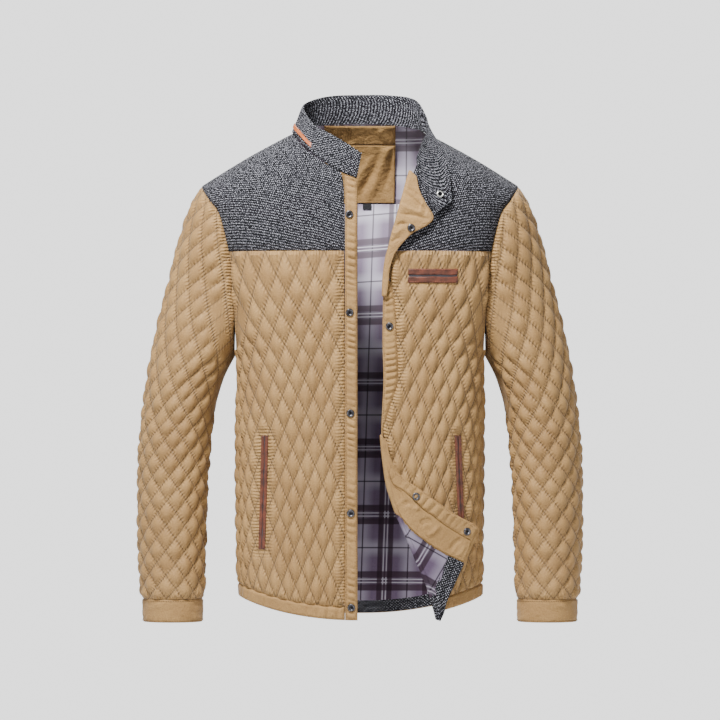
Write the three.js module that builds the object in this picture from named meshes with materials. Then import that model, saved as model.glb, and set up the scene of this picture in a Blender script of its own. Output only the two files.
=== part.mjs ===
// Quilted jacket in its worn shape with nobody in it: a hollow shell of sewn cloth pieces.
// Millimetres, +Z up, front towards -Y, the wearer's left at +X. The origin is the middle of the neck base.
import * as THREE from "three";

const { abs, asin, cos, max, min, round, sign, sin, sqrt, PI } = Math;

// Cloth
const SEAM = 0.3; // gap between pieces sewn edge to edge, and between layers
const SHELL = 2; // quilted shell where it is stitched down
const PUFF = 2.6; // height of a diamond above its stitch lines
const YOKE_CLOTH = 1.8;
const PLAIN_CLOTH = 1.4; // facings, lining and bands
const LEATHER = 1.3;
const BAND_CLOTH = 2.4; // plackets and hem bands, folded double
const COLLAR_CLOTH = 2.4;

// Body: each level is a rounded section, flat in front and behind
const SQUARE = 3.2; // exponent of the rounded section
const FRONT_DEPTH = 118;
const BACK_DEPTH = 113;
const YOKE_Z = -161;
const UNDERARM_Z = -306;
const HEM_Z = -682;
const HEM_SIDE_RISE = 31;
const HEM_BAND = 17;
const HALF_BREADTH = 170;
const BREADTH = table(["z", "breadth"], [
  [-682, 170],
  [-500, 171],
  [-400, 172.5],
  [-306, 174.5],
]);

// Shoulders: the line falls from the neck point and the cloth rolls over it
const NECK_X = 95;
const NECK_Z = 7;
const NECK_RISE = 47;
const SHOULDER_X = 226;
const SHOULDER_SLOPE = 0.5;
const SHOULDER_DROOP = 0.0006;
const ROLL = 2.2; // exponent of the roll over the shoulder
const SHOULDER_Z = shoulderZ(SHOULDER_X);

// The armhole seam: slack is how much wider the section would be without the armhole
const ARMHOLE = table(["z", "x", "slack"], [
  [-306, 174.5, 0],
  [-290, 175.5, 2.2],
  [-273, 177, 5],
  [-246, 178, 8.5],
  [-218, 181, 10.5],
  [-190, 182, 12],
  [-161, 186, 13.5],
  [-126, 194, 15],
  [-103, 202, 16],
  [-88, 214, 17],
  [SHOULDER_Z, SHOULDER_X, 18],
]);

// Quilting: diamonds in half pitches across and down
const YOKE_ROWS = 10;
const FRONT_ROWS = 20;
const FIRST_ROW = 32;
const SIDE_ROWS = 5; // rows beside the armhole
const PANEL_COLUMNS = 24;
const BACK_COLUMNS = 44;
const PITCH = table(["z", "pitch"], [
  [-665, 19.5],
  [-597, 20.3],
  [-512, 20.6],
  [-371, 21.9],
  [-268, 24.3],
  [-194, 26],
  [-161, 26.5],
]);
const BACK_PITCH = 24;

// Sleeves: outer and inner line from the shoulder point down to the cuff seam
const CAP_ROWS = 13;
const ARM_ROWS = 17;
const SLEEVE_COLUMNS = 30;
const SLEEVE_PITCH = 27;
const SLEEVE_OUTER = table(["run", "x", "z"], [
  [0, 226, SHOULDER_Z],
  [2, 243, -110],
  [4, 256, -150],
  [7, 272, -214],
  [10, 288, -278],
  [13, 300, -342],
  [16, 308, -401],
  [19, 312, -451],
  [24, 313, -544],
  [27, 311.5, -601],
  [30, 308.5, -655],
  [32, 308, -688],
]);
const SLEEVE_INNER = table(["run", "x", "z"], [
  [13, 179.3, -306],
  [15, 197, -342],
  [18, 213, -401],
  [20, 218, -440],
  [24, 222.5, -520],
  [30, 226, -655],
  [32, 226.5, -688],
]);
const SLEEVE_DEPTH = table(["run", "depth", "forward"], [
  [6.7, 69, 0],
  [13, 65, 0],
  [20, 57, -4],
  [30, 47, -12],
  [32, 46, -13],
]);
const UNDERARM_LAP = 4.8;
const LAP_TOP_Z = -240;

// Front edges
const PLACKET_SEAM_X = 21;
const PLACKET_EDGE_X = 3.5;
const PLACKET_GAP = 2.8; // from the left placket's curved seam to the panel's straighter edge
const NECK_SEAM_RIGHT = table(["x", "z"], [
  [-95, 7],
  [-85, -8],
  [-69, -23],
  [-50, -37],
  [-27, -50.5],
  [-3.5, -60.5],
]);
const NECK_BACK = table(["x", "z"], [
  [0, 27],
  [45, 25],
  [80, 17],
  [95, 7],
]);
const LAPEL_ROLL = table(["z", "x"], [
  [-202, 37.4],
  [-174, 37.4],
  [-157, 41],
  [-123, 50],
  [-82, 61.3],
  [-41.5, 72.6],
]);
const PLACKET_LEFT = table(["z", "edge", "seam"], [
  [-412, 30, 32.5],
  [-378, 31.5, 43.5],
  [-343, 33, 54],
  [-287, 31.7, 52.5],
  [-230, 32.4, 49.5],
  [-214, 35, 46.5],
  [-203, 37.4, 42],
]);
const CORNER_ROLL = table(["z", "x"], [
  [-686, 111],
  [-639, 99.4],
  [-601, 81],
  [-561, 64.9],
  [-534, 52.3],
  [-521, 48.6],
  [-498, 39.6],
  [-447, 32.4],
  [-414, 28.9],
]);

const SNAP_TO_EDGE = 2.5; // a node closer than this to a border moves onto it
const UNDERARM_FLAT = 32; // quilting lies flat this near the underarm, where sleeve and body touch


const CLOTH_TAN = 0xc3a06e;
const LEATHER_BROWN = 0x9a4f30;
const TWEED_GREY = 0x55555c;
const LINING_PLAID = 0x6d5f78;
const SNAP_METAL = 0x4a4a4c;
const LABEL_BLACK = 0x17171a;


// Turned edges: the cloth goes round a fold and lies on the front
const FOLD_RADIUS = 3.2;
const EDGE_BACK = FOLD_RADIUS + 0.5; // the left front stops this far behind the fold of its turned edge
const LAPEL = [
  [71, -47, 79.5, -56],
  [66, -64, 84, -76],
  [61.3, -82, 93, -94],
  [55.5, -103, 103.5, -113],
  [50, -123, 95, -125],
  [45.3, -140, 73.5, -137],
  [41, -157, 57, -154],
  [38.3, -172, 50, -168],
  [37.4, -190, 47, -186],
  [37.4, -200, 46.5, -198],
];
const CORNER = [
  [29.5, -420, 38.5, -431],
  [31, -438, 44, -455],
  [33.5, -460, 60, -480],
  [38, -490, 84, -496.5],
  [45, -513, 110, -516],
  [52.3, -534, 140, -535.5],
  [60, -551, 168, -552],
  [70, -574, 161, -574],
  [81, -601, 147, -603],
  [92, -625, 134.5, -629],
  [102, -649, 123, -654],
  [108, -669, 118.5, -672],
];

// The turned corner shows the inside of the front: each row gives two edges, as x and z
const CORNER_LAYER = 0.6; // the shell's flat faces stay this far behind the pieces on it
const CORNER_PIECES = {
  corner_placket: {
    colour: CLOTH_TAN,
    columns: 2,
    rows: [
      [41, -459, 39.5, -470],
      [48, -470, 46, -488.5],
      [64.9, -484.5, 62, -499.5],
      [79, -494, 75, -511],
      [95, -506, 88, -524.5],
      [110, -517, 102, -534],
      [126, -529.8, 115, -544.3],
      [146, -538.8, 137, -558.5],
      [167, -553, 158, -570],
    ],
  },
  corner_facing: {
    colour: CLOTH_TAN,
    columns: 2,
    rows: [
      [39.7, -470.6, 41, -484],
      [45.6, -489.2, 46, -505],
      [61.7, -500, 55.5, -531],
      [74.6, -511.5, 68, -548],
      [87.6, -525, 81, -561],
      [101.6, -534.5, 96, -572],
      [114.6, -544.9, 108, -580.5],
      [136.6, -559.1, 124, -589.5],
      [157.6, -570.6, 147, -599.5],
    ],
  },
  corner_lining: {
    colour: LINING_PLAID,
    columns: 4,
    rows: [
      [56.5, -534.5, 57.5, -537],
      [62.5, -550.5, 66, -551.5],
      [71, -568, 94.5, -575],
      [79.5, -588, 122, -591.5],
      [88.5, -607, 118.6, -607],
      [97, -627, 113.2, -629],
      [104.5, -647, 108.2, -648.5],
    ],
  },
  corner_hem_facing: {
    colour: TWEED_GREY,
    columns: 2,
    rows: [
      [124.5, -590.9, 146.2, -601],
      [119.8, -607, 139.5, -617],
      [114.3, -629, 130, -638],
      [109.3, -649, 121, -658],
    ],
  },
};

// Collar: rise is above the neck seam and lift in front of it
const COLLAR = table(["run", "seamX", "seamZ", "rise", "lift", "rimX", "rimY", "rimZ"], [
  [0, -4.5, -60, 1, 0, 2.5, -104, -23],
  [1, -27, -50.5, 1, 0, -28, -96, -3],
  [2, -50, -37, 1.5, 0, -47, -86, 8],
  [3, -69, -23, 2.2, 0.3, -63, -70, 17],
  [4, -84.5, -8, 3.8, 0, -75, -40, 33],
  [5, -94, 7, 4.2, 0, -80, -4, 47],
  [6, -80, 17, 3, 0, -70, 32, 57],
  [7, -45, 25, 2.5, 0, -42, 55, 65],
  [8, 0, 27, 2.5, 0, 0, 64, 67],
  [9, 45, 25, 2.5, 0, 44, 56, 66],
  [10, 80, 17, 3, 0, 78, 36, 59],
  [11, 95, 7, 3.6, 0, 92, 0, 36],
  [12, 90, -6, 5, 3, 102, -28, 12],
  [13, 84, -22, 4, 6, 113, -52, -8],
  [14, 80, -38, 2, 9, 121, -76, -28],
  [15, 90.5, -76, 2, 11, 127, -100, -58],
  [16, 105.5, -111, 2, 12, 130, -112, -90],
]);
const COLLAR_BACK_RUNS = [5, 11]; // between these the seam runs round the back

// Pockets and snaps
const HAND_POCKETS = {
  front_right: { topX: 133.5, topZ: -421.5, bottomX: 137.5, bottomZ: -582.5 },
  front_left: { topX: 137, topZ: -421.5, bottomX: 144, bottomZ: -582.5 },
};
const WELT_WIDTH = 5;
const WELT_SLIT = 1;
const CHEST_POCKET = { fromX: 67.7, toX: 137.2, topZ: -186.3, bottomZ: -206.2, slit: 2.4 };
const FLAT_MARGIN = 12; // quilting lies flat this far beside a pocket
const FLAT_BELOW = 26; // and this far above and below it

const SNAP_RADIUS = 5.6;
const SNAP_HEIGHT = 2.2;
const PLACKET_SNAPS = [
  [-15, -110],
  [-14.5, -248],
  [-13.5, -390],
  [-13, -531],
  [-12.3, -664],
];

// Inside of the back
const INSIDE = -3.6; // neck pieces lie this far inside the back's inner face
const LINING_GAP = 1.5; // the lining's outer face is this far inside the shell
const LINING_TOP = [-89, -112, -137];
const LINING_TOP_HALF = 96;

const root = new THREE.Group();

// Tables and curves

function table(names, rows) {
  return rows.map((row) => Object.fromEntries(names.map((name, i) => [name, row[i]])));
}

// Smooth value of a column at a key; the rows are in rising order of their first column.
function read(rows, column, at) {
  const key = Object.keys(rows[0])[0];
  const last = rows.length - 1;
  if (at <= rows[0][key]) return rows[0][column];
  if (at >= rows[last][key]) return rows[last][column];
  let i = 0;
  while (rows[i + 1][key] < at) i += 1;
  const slope = (k) => {
    const a = rows[max(0, k - 1)];
    const b = rows[min(last, k + 1)];
    return (b[column] - a[column]) / (b[key] - a[key]);
  };
  const width = rows[i + 1][key] - rows[i][key];
  const t = (at - rows[i][key]) / width;
  const rise = rows[i + 1][column] - rows[i][column];
  const startBend = slope(i) * width - rise;
  const endBend = rise - slope(i + 1) * width;
  return rows[i][column] + rise * t + t * (1 - t) * (startBend * (1 - t) + endBend * t);
}

// Arc length along a quarter of the rounded section, as shares of the quarter.
const ARC_STEPS = 240;
const ARC = (() => {
  const shares = [0];
  const point = (step) => {
    const turn = (step / ARC_STEPS) * (PI / 2);
    return [HALF_BREADTH * sin(turn) ** (2 / SQUARE), FRONT_DEPTH * cos(turn) ** (2 / SQUARE)];
  };
  for (let step = 1; step <= ARC_STEPS; step += 1) {
    const [x0, y0] = point(step - 1);
    const [x1, y1] = point(step);
    shares.push(shares[step - 1] + Math.hypot(x1 - x0, y1 - y0));
  }
  const length = shares[ARC_STEPS];
  return { shares: shares.map((share) => share / length), ratio: length / (HALF_BREADTH + FRONT_DEPTH) };
})();

function turnAtShare(share) {
  if (share >= 1) return PI / 2;
  let low = 0;
  while (ARC.shares[low + 1] < share) low += 1;
  const part = (share - ARC.shares[low]) / (ARC.shares[low + 1] - ARC.shares[low]);
  return ((low + part) / ARC_STEPS) * (PI / 2);
}

function shareAtTurn(turn) {
  const step = min(ARC_STEPS - 1e-9, (turn / (PI / 2)) * ARC_STEPS);
  const low = Math.floor(step);
  return ARC.shares[low] + (step - low) * (ARC.shares[low + 1] - ARC.shares[low]);
}

// Body surface, the inner face of the shell. Side is -1 in front and 1 behind.

function depthOf(side) {
  return side < 0 ? FRONT_DEPTH : BACK_DEPTH;
}

function armholeX(z) {
  return read(ARMHOLE, "x", z);
}

function halfBreadth(z) {
  if (z <= UNDERARM_Z) return read(BREADTH, "breadth", z);
  return armholeX(z) + max(0, read(ARMHOLE, "slack", z));
}

function quarterLength(side, z) {
  return ARC.ratio * (halfBreadth(z) + depthOf(side));
}

function onBody(side, along, z) {
  const turn = turnAtShare(min(1, abs(along) / quarterLength(side, z)));
  const x = sign(along) * halfBreadth(z) * sin(turn) ** (2 / SQUARE);
  const depth = depthOf(side) * max(0, cos(turn)) ** (2 / SQUARE);
  return new THREE.Vector3(x, side * max(SEAM / 2, depth), z);
}

function armholeAlong(side, z) {
  const turn = asin(min(1, (armholeX(z) / halfBreadth(z)) ** (SQUARE / 2)));
  return shareAtTurn(turn) * quarterLength(side, z);
}

function shoulderZ(x) {
  const out = abs(x) - NECK_X;
  if (out > 0) return NECK_Z - SHOULDER_SLOPE * out - SHOULDER_DROOP * out * out;
  return NECK_Z + NECK_RISE * (1 - (x / NECK_X) ** 2);
}

function bodyY(side, x, z) {
  const height = max(0, (z - YOKE_Z) / (shoulderZ(x) - YOKE_Z));
  const roll = max(0, 1 - height ** ROLL) ** (1 / ROLL);
  const across = max(0, 1 - min(1, abs(x) / halfBreadth(z)) ** SQUARE) ** (1 / SQUARE);
  return side * depthOf(side) * roll * across;
}

function hemZ(x) {
  return HEM_Z + HEM_SIDE_RISE * min(1, abs(x) / HALF_BREADTH) ** 2.2;
}

// Sheets: a grid of nodes { a, b, puff } on a surface becomes a closed wall, raised by its puffs outside.

function wall(name, { nodes, at, flip = 1, thickness, colour, lift = 0, coarse = true, keepRow, stations }) {
  const positions = [];
  const step = coarse ? 2 : 1;
  const pointAt = (node) => {
    const here = at(node.a, node.b);
    const normal = node.normal ?? normalAt(at, node, flip);
    return { here, normal };
  };
  const side = (rows, offset) => {
    const ids = new Map();
    const grid = rows.map((row) =>
      row.map((node) => {
        const key = `${round(node.a * 200)},${round(node.b * 200)}`;
        if (!ids.has(key)) {
          const { here, normal } = pointAt(node);
          ids.set(key, positions.length);
          positions.push(here.addScaledVector(normal, offset(node)));
        }
        return { id: ids.get(key), node, key };
      }),
    );
    const triangles = [];
    const add = (p, q, r) => {
      if (p.id !== q.id && q.id !== r.id && p.id !== r.id) triangles.push([p.id, q.id, r.id]);
    };
    for (let j = 0; j < grid.length - 1; j += 1) {
      for (let i = 0; i < grid[j].length - 1; i += 1) {
        const [p, q, r, s] = [grid[j][i], grid[j][i + 1], grid[j + 1][i + 1], grid[j + 1][i]];
        if ((i + j) % 2 === 0) {
          add(p, q, r);
          add(p, r, s);
        } else {
          add(p, q, s);
          add(q, r, s);
        }
      }
    }
    const border = [];
    const lastRow = grid.length - 1;
    const lastColumn = grid[0].length - 1;
    for (let i = 0; i < lastColumn; i += 1) border.push(grid[0][i]);
    for (let j = 0; j < lastRow; j += 1) border.push(grid[j][lastColumn]);
    for (let i = lastColumn; i > 0; i -= 1) border.push(grid[lastRow][i]);
    for (let j = lastRow; j > 0; j -= 1) border.push(grid[j][0]);
    const loop = border.filter((item, i) => item.id !== border[(i + 1) % border.length].id);
    if (stations) splitBorder(loop, triangles, stations, (node) => {
      const { here, normal } = pointAt(node);
      positions.push(here.addScaledVector(normal, offset(node)));
      return positions.length - 1;
    });
    return { triangles, loop };
  };
  const kept = nodes.filter((row, j) => j % step === 0 || j === keepRow);
  const coarseRows = kept.map((row) => row.filter((node, i) => i % step === 0));
  const outer = side(nodes, (node) => lift + thickness + node.puff);
  const inner = side(coarseRows, () => lift);
  const faces = [...outer.triangles, ...inner.triangles.map(([p, q, r]) => [p, r, q])];
  faces.push(...zip(outer.loop, inner.loop));
  addMesh(name, positions, faces, colour);
}

function normalAt(at, { a, b }, flip) {
  const reach = 0.5;
  const across = at(a + reach, b).sub(at(a - reach, b));
  if (across.length() < 1e-6) across.copy(at(a + reach, b + reach).sub(at(a - reach, b + reach)));
  const down = at(a, b + reach).sub(at(a, b - reach));
  return across.cross(down).normalize().multiplyScalar(flip);
}

// Adds the seam's shared stations to a border, so that both pieces at a seam have the same points.
function splitBorder(loop, triangles, stations, newPoint) {
  for (let i = 0; i < loop.length; i += 1) {
    const from = loop[i];
    const to = loop[(i + 1) % loop.length];
    const between = stations(from.node, to.node);
    if (!between.length) continue;
    const added = between.map((node) => ({ id: newPoint(node), node, key: `${node.a},${node.b}` }));
    const index = triangles.findIndex(
      (face) => [0, 1, 2].some((k) => face[k] === from.id && face[(k + 1) % 3] === to.id),
    );
    const face = triangles[index];
    const apex = face.find((id) => id !== from.id && id !== to.id);
    const chain = [from.id, ...added.map((item) => item.id), to.id];
    triangles.splice(index, 1, ...chain.slice(1).map((id, k) => [chain[k], id, apex]));
    loop.splice(i + 1, 0, ...added);
    i += added.length;
  }
}

// Joins the outer and inner borders, which start at the same corner, by a strip of triangles.
function zip(outer, inner) {
  const faces = [];
  const near = (p, q) => abs(p.node.a - q.node.a) < 0.01 && abs(p.node.b - q.node.b) < 0.01;
  let o = 0;
  for (let i = 0; i < inner.length; i += 1) {
    const next = inner[(i + 1) % inner.length];
    const chain = [outer[o % outer.length]];
    do {
      o += 1;
      chain.push(outer[o % outer.length]);
    } while (!near(outer[o % outer.length], next));
    const middle = Math.floor((chain.length - 1) / 2);
    for (let k = 0; k < middle; k += 1) faces.push([chain[k + 1].id, chain[k].id, inner[i].id]);
    faces.push([chain[middle].id, inner[i].id, next.id]);
    for (let k = middle; k < chain.length - 1; k += 1) faces.push([chain[k + 1].id, chain[k].id, next.id]);
  }
  return faces;
}

function addMesh(name, points, faces, colour) {
  const volume = faces.reduce((sum, [p, q, r]) => sum + points[p].dot(points[q].clone().cross(points[r])), 0);
  if (volume < 0) faces.forEach((face) => face.reverse());
  const geometry = new THREE.BufferGeometry();
  geometry.setAttribute("position", new THREE.Float32BufferAttribute(points.flatMap((p) => p.toArray()), 3));
  geometry.setIndex(faces.flat());
  geometry.computeVertexNormals();
  const mesh = new THREE.Mesh(geometry, new THREE.MeshStandardMaterial({ color: colour, roughness: 0.85 }));
  mesh.name = name;
  root.add(mesh);
}

// Sleeves: each level is part of an ellipse from the outer line round to the armhole seam or the inner seam

function capZ(run) {
  return SHOULDER_Z + (UNDERARM_Z - SHOULDER_Z) * min(1, run / CAP_ROWS);
}

// Round the underarm the sleeve's edge lies just outside the body's.
function underarmLap(z) {
  const part = min(1, max(0, (LAP_TOP_Z - z) / (LAP_TOP_Z - UNDERARM_Z)));
  return UNDERARM_LAP * part * part * (3 - 2 * part);
}

function sleeveLevel(side, run) {
  const outerX = read(SLEEVE_OUTER, "x", run);
  const outerZ = read(SLEEVE_OUTER, "z", run);
  const inCap = run < CAP_ROWS;
  const innerZ = inCap ? capZ(max(0, run)) : read(SLEEVE_INNER, "z", run);
  const innerX = inCap ? armholeX(innerZ) + underarmLap(innerZ) : read(SLEEVE_INNER, "x", run);
  const length = Math.hypot(outerX - innerX, outerZ - innerZ);
  const reach = inCap ? abs(bodyY(side, armholeX(innerZ), innerZ)) : 0;
  const widestRun = 6.7;
  const depth = run < widestRun ? reach : max(reach, read(SLEEVE_DEPTH, "depth", run));
  const cut = depth > 0 ? sqrt(max(0, 1 - (reach / depth) ** 2)) : 0;
  const width = length / (1 + cut);
  const lastTurn = Math.acos(-cut);
  let half = 0;
  const steps = 24;
  for (let k = 0; k < steps; k += 1) {
    const turn = ((k + 0.5) / steps) * lastTurn;
    half += Math.hypot(width * sin(turn), depth * cos(turn)) * (lastTurn / steps);
  }
  const unit = length > 0 ? [(outerX - innerX) / length, (outerZ - innerZ) / length] : [1, 0];
  return { outerX, outerZ, unit, width, depth, lastTurn, half };
}

function onSleeve(around, run) {
  const side = around < 0 ? -1 : 1;
  const level = sleeveLevel(side, run);
  const share = level.half > 0 ? min(1, abs(around) / level.half) : 0;
  const turn = share * level.lastTurn;
  const inward = level.width * (1 - cos(turn));
  const forward = read(SLEEVE_DEPTH, "forward", run);
  return new THREE.Vector3(
    level.outerX - level.unit[0] * inward,
    side * level.depth * sin(turn) + forward,
    level.outerZ - level.unit[1] * inward,
  );
}

// Yokes: a is x, b goes from 0 at the yoke seam to 100 at the shoulder line

function onYoke(side) {
  return (x, b) => {
    const turn = (b / 100) * (PI / 2);
    const height = max(0, sin(turn)) ** (2 / ROLL);
    const roll = sign(cos(turn)) * abs(cos(turn)) ** (2 / ROLL);
    const z = YOKE_Z + height * (shoulderZ(x) - YOKE_Z);
    const across = max(0, 1 - min(1, abs(x) / halfBreadth(z)) ** SQUARE) ** (1 / SQUARE);
    return new THREE.Vector3(x, side * depthOf(side) * roll * across, z);
  };
}

function yokeB(x, z) {
  const height = min(1, max(0, (z - YOKE_Z) / (shoulderZ(x) - YOKE_Z)));
  return (asin(height ** (ROLL / 2)) / (PI / 2)) * 100;
}

function yokeEdgeX(b) {
  const height = sin((b / 100) * (PI / 2)) ** (2 / ROLL);
  let x = 190;
  for (let turn = 0; turn < 40; turn += 1) x = armholeX(YOKE_Z + height * (shoulderZ(x) - YOKE_Z));
  return x;
}

// The armhole seam's shared stations and the direction that both pieces are thick in there
const BODY_STATIONS = [1, 2, 3, 4, 5].map(sideRowZ);
const YOKE_STATIONS = Array.from({ length: YOKE_ROWS }, (_, k) => {
  const b = ((k + 1) / YOKE_ROWS) * 100;
  const x = yokeEdgeX(b);
  return onYoke(-1)(x, b).z;
});
const SLEEVE_STATIONS = Array.from({ length: CAP_ROWS }, (_, k) => capZ(k + 1));
const STATIONS = [...BODY_STATIONS, ...YOKE_STATIONS, ...SLEEVE_STATIONS, YOKE_Z]
  .sort((p, q) => q - p)
  .filter((z, i, all) => i === 0 || all[i - 1] - z > 0.5);

function sideRowZ(row) {
  return YOKE_Z + (UNDERARM_Z - YOKE_Z) * (1 - (1 - row / SIDE_ROWS) ** 1.3);
}

function armholeNormal(side, z) {
  const body = z > YOKE_Z
    ? normalAt(onYoke(side), { a: armholeX(z), b: yokeB(armholeX(z), z) }, -side)
    : normalAt((a, b) => onBody(side, a, b), { a: armholeAlong(side, z) - 1, b: z }, -side);
  const run = (CAP_ROWS * (z - SHOULDER_Z)) / (UNDERARM_Z - SHOULDER_Z);
  const level = sleeveLevel(side, run);
  const sleeve = normalAt(onSleeve, { a: side * (level.half - 1), b: run }, -1);
  return body.add(sleeve).normalize();
}

function mirror(vector) {
  return new THREE.Vector3(-vector.x, vector.y, vector.z);
}

// Stations strictly between two border heights, from the first towards the second.
function stationsBetween(fromZ, toZ) {
  const between = STATIONS.filter((z) => z < max(fromZ, toZ) - 0.5 && z > min(fromZ, toZ) + 0.5);
  return fromZ > toZ ? between : between.reverse();
}

// Quilted panels

function nodeRows(rows, columns, node) {
  return Array.from({ length: rows + 1 }, (_, j) => Array.from({ length: columns + 1 }, (__, i) => node(i, j)));
}

function alongAtX(side, x, z) {
  const turn = asin(min(1, (abs(x) / halfBreadth(z)) ** (SQUARE / 2)));
  return shareAtTurn(turn) * quarterLength(side, z);
}

function centreRowZ(row) {
  if (row === 0) return YOKE_Z;
  const top = YOKE_Z - FIRST_ROW;
  return top + ((HEM_Z + HEM_BAND - top) * (row - 1)) / (FRONT_ROWS - 1);
}

function limitAlong(side, row) {
  if (row <= SIDE_ROWS) return armholeAlong(side, sideRowZ(row));
  return quarterLength(side, UNDERARM_Z);
}

// Height of a quilting row: level in the middle, lower beside the armhole, with the hem's curve at the bottom.
function quiltZ(side, row, along) {
  const share = min(1, abs(along) / limitAlong(side, row)) ** 3;
  if (row <= SIDE_ROWS) return centreRowZ(row) + (sideRowZ(row) - centreRowZ(row)) * share;
  const fromZ = centreRowZ(SIDE_ROWS) + (UNDERARM_Z - centreRowZ(SIDE_ROWS)) * share;
  const x = onBody(side, along, HEM_Z + HEM_SIDE_RISE).x;
  const part = (row - SIDE_ROWS) / (FRONT_ROWS - SIDE_ROWS);
  return fromZ + (hemZ(x) + HEM_BAND + SEAM - fromZ) * part;
}

function clampAlong(along, low, high) {
  if (along < low + SNAP_TO_EDGE) return low;
  if (along > high - SNAP_TO_EDGE) return high;
  return along;
}

function quiltNode(side, along, row, low, flattened) {
  const limit = limitAlong(side, row);
  const rough = quiltZ(side, row, min(along, limit));
  const lowest = low(rough);
  const high = limit - SEAM / 2;
  const a = clampAlong(along, lowest, high);
  const top = row === 0 ? SEAM : 0;
  const b = quiltZ(side, row, a === high ? limit : a) - top;
  const onBorder = a === lowest || a === high || row === 0 || row === FRONT_ROWS;
  const inSeam = a === high && row < SIDE_ROWS + 1;
  const atUnderarm = a > limit - UNDERARM_FLAT && abs(row - SIDE_ROWS) <= 2;
  return { a, b, inSeam, flat: onBorder || atUnderarm || flattened(a, b) };
}

// A panel's node with the seam's own direction at the armhole, mirrored for the wearer's right.
function finishNode(node, side, hand, raised) {
  const puff = raised && !node.flat ? PUFF : 0;
  const made = { a: hand * node.a, b: node.b, puff };
  if (node.inSeam) made.normal = handed(armholeNormal(side, min(node.b, YOKE_Z)), hand);
  return made;
}

function handed(vector, hand) {
  return hand > 0 ? vector : mirror(vector);
}

function panelStations(side, hand) {
  return (from, to) => {
    if (!from.normal || !to.normal) return [];
    if (from.a * to.a < 0) return [];
    const own = hand ?? sign(from.a);
    return stationsBetween(from.b, to.b).map((z) => ({
      a: own * (armholeAlong(side, z) - SEAM / 2),
      b: z,
      puff: 0,
      normal: handed(armholeNormal(side, z), own),
    }));
  };
}

function frontPanel(name, hand, low, pocket) {
  const pitchAt = (row) => read(PITCH, "pitch", centreRowZ(row));
  const nodes = nodeRows(FRONT_ROWS, PANEL_COLUMNS, (i, j) => {
    const along = PLACKET_SEAM_X + (i * pitchAt(j)) / 2;
    return finishNode(quiltNode(-1, along, j, low, pocket), -1, hand, (i + j) % 2 === 1);
  });
  wall(name, {
    nodes,
    at: (a, b) => onBody(-1, a, b),
    thickness: SHELL,
    colour: CLOTH_TAN,
    keepRow: SIDE_ROWS,
    stations: panelStations(-1, hand),
  });
}

function backPanel() {
  const middle = BACK_COLUMNS / 2;
  const nodes = nodeRows(FRONT_ROWS, BACK_COLUMNS, (i, j) => {
    const along = ((i - middle) * BACK_PITCH) / 2;
    const hand = along < 0 ? -1 : 1;
    const node = quiltNode(1, abs(along), j, () => -BACK_PITCH, () => false);
    return finishNode(node, 1, hand, (i + j) % 2 === 1);
  });
  wall("back_panel", {
    nodes,
    at: (a, b) => onBody(1, a, b),
    flip: -1,
    thickness: SHELL,
    colour: CLOTH_TAN,
    keepRow: SIDE_ROWS,
    stations: panelStations(1),
  });
}

function pocketAlong(pocket, z) {
  const part = (z - pocket.topZ) / (pocket.bottomZ - pocket.topZ);
  return alongAtX(-1, pocket.topX + (pocket.bottomX - pocket.topX) * part, z);
}

function inHandPocket(pocket) {
  return (along, z) =>
    z < pocket.topZ + FLAT_BELOW &&
    z > pocket.bottomZ - FLAT_BELOW &&
    abs(along - pocketAlong(pocket, z)) < WELT_WIDTH + FLAT_MARGIN;
}

function inChestPocket(along, z) {
  const { fromX, toX, topZ, bottomZ } = CHEST_POCKET;
  const across = along > fromX - FLAT_MARGIN && along < toX + 2 * FLAT_MARGIN;
  return across && z < topZ + FLAT_BELOW && z > bottomZ - FLAT_BELOW;
}

frontPanel("front_right", -1, () => PLACKET_SEAM_X + SEAM / 2, inHandPocket(HAND_POCKETS.front_right));

function leftFrontEdge(z) {
  if (z > PLACKET_LEFT.at(-1).z) return read(LAPEL_ROLL, "x", z) + EDGE_BACK;
  if (z > PLACKET_LEFT[0].z) return read(PLACKET_LEFT, "seam", z) + PLACKET_GAP;
  return read(CORNER_ROLL, "x", z) + EDGE_BACK;
}

frontPanel(
  "front_left",
  1,
  (z) => alongAtX(-1, leftFrontEdge(z), z),
  (a, b) => inHandPocket(HAND_POCKETS.front_left)(a, b) || inChestPocket(a, b),
);
backPanel();

// Yokes

function yoke(name, side, rows, columns, innerX, outerHand, innerHand) {
  const nodes = nodeRows(rows, columns, (i, j) => {
    const b = 100 - (j / rows) * 100;
    const share = i / columns;
    const outer = outerHand * (yokeEdgeX(b) - SEAM / 2);
    const inner = innerX(b);
    const a = outer + (inner - outer) * share;
    const atShoulder = b === 100 ? 0.1 : 0;
    const atSeam = b === 0 ? 0.4 : 0;
    const node = { a, b: b - atShoulder + atSeam, puff: 0 };
    const hand = i === 0 ? outerHand : innerHand;
    if (i === 0 || (innerHand && i === columns)) {
      node.normal = handed(armholeNormal(side, onYoke(side)(outer, b).z), hand);
    }
    return node;
  });
  wall(name, {
    nodes,
    at: onYoke(side),
    flip: -side,
    thickness: YOKE_CLOTH,
    colour: TWEED_GREY,
    stations: yokeStations(side),
  });
}

function yokeStations(side) {
  return (from, to) => {
    if (!from.normal || !to.normal || from.a * to.a < 0) return [];
    const hand = sign(from.a);
    const fromZ = onYoke(side)(from.a, from.b).z;
    const toZ = onYoke(side)(to.a, to.b).z;
    return stationsBetween(fromZ, toZ).map((z) => ({
      a: hand * (armholeX(z) - SEAM / 2),
      b: yokeB(armholeX(z), z),
      puff: 0,
      normal: handed(armholeNormal(side, z), hand),
    }));
  };
}

// Inner edge of a front yoke: b to x, from the seam and neck points.
function edgeTable(points) {
  return points
    .map(([x, z]) => ({ b: yokeB(x, z), x }))
    .sort((p, q) => p.b - q.b);
}

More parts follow.
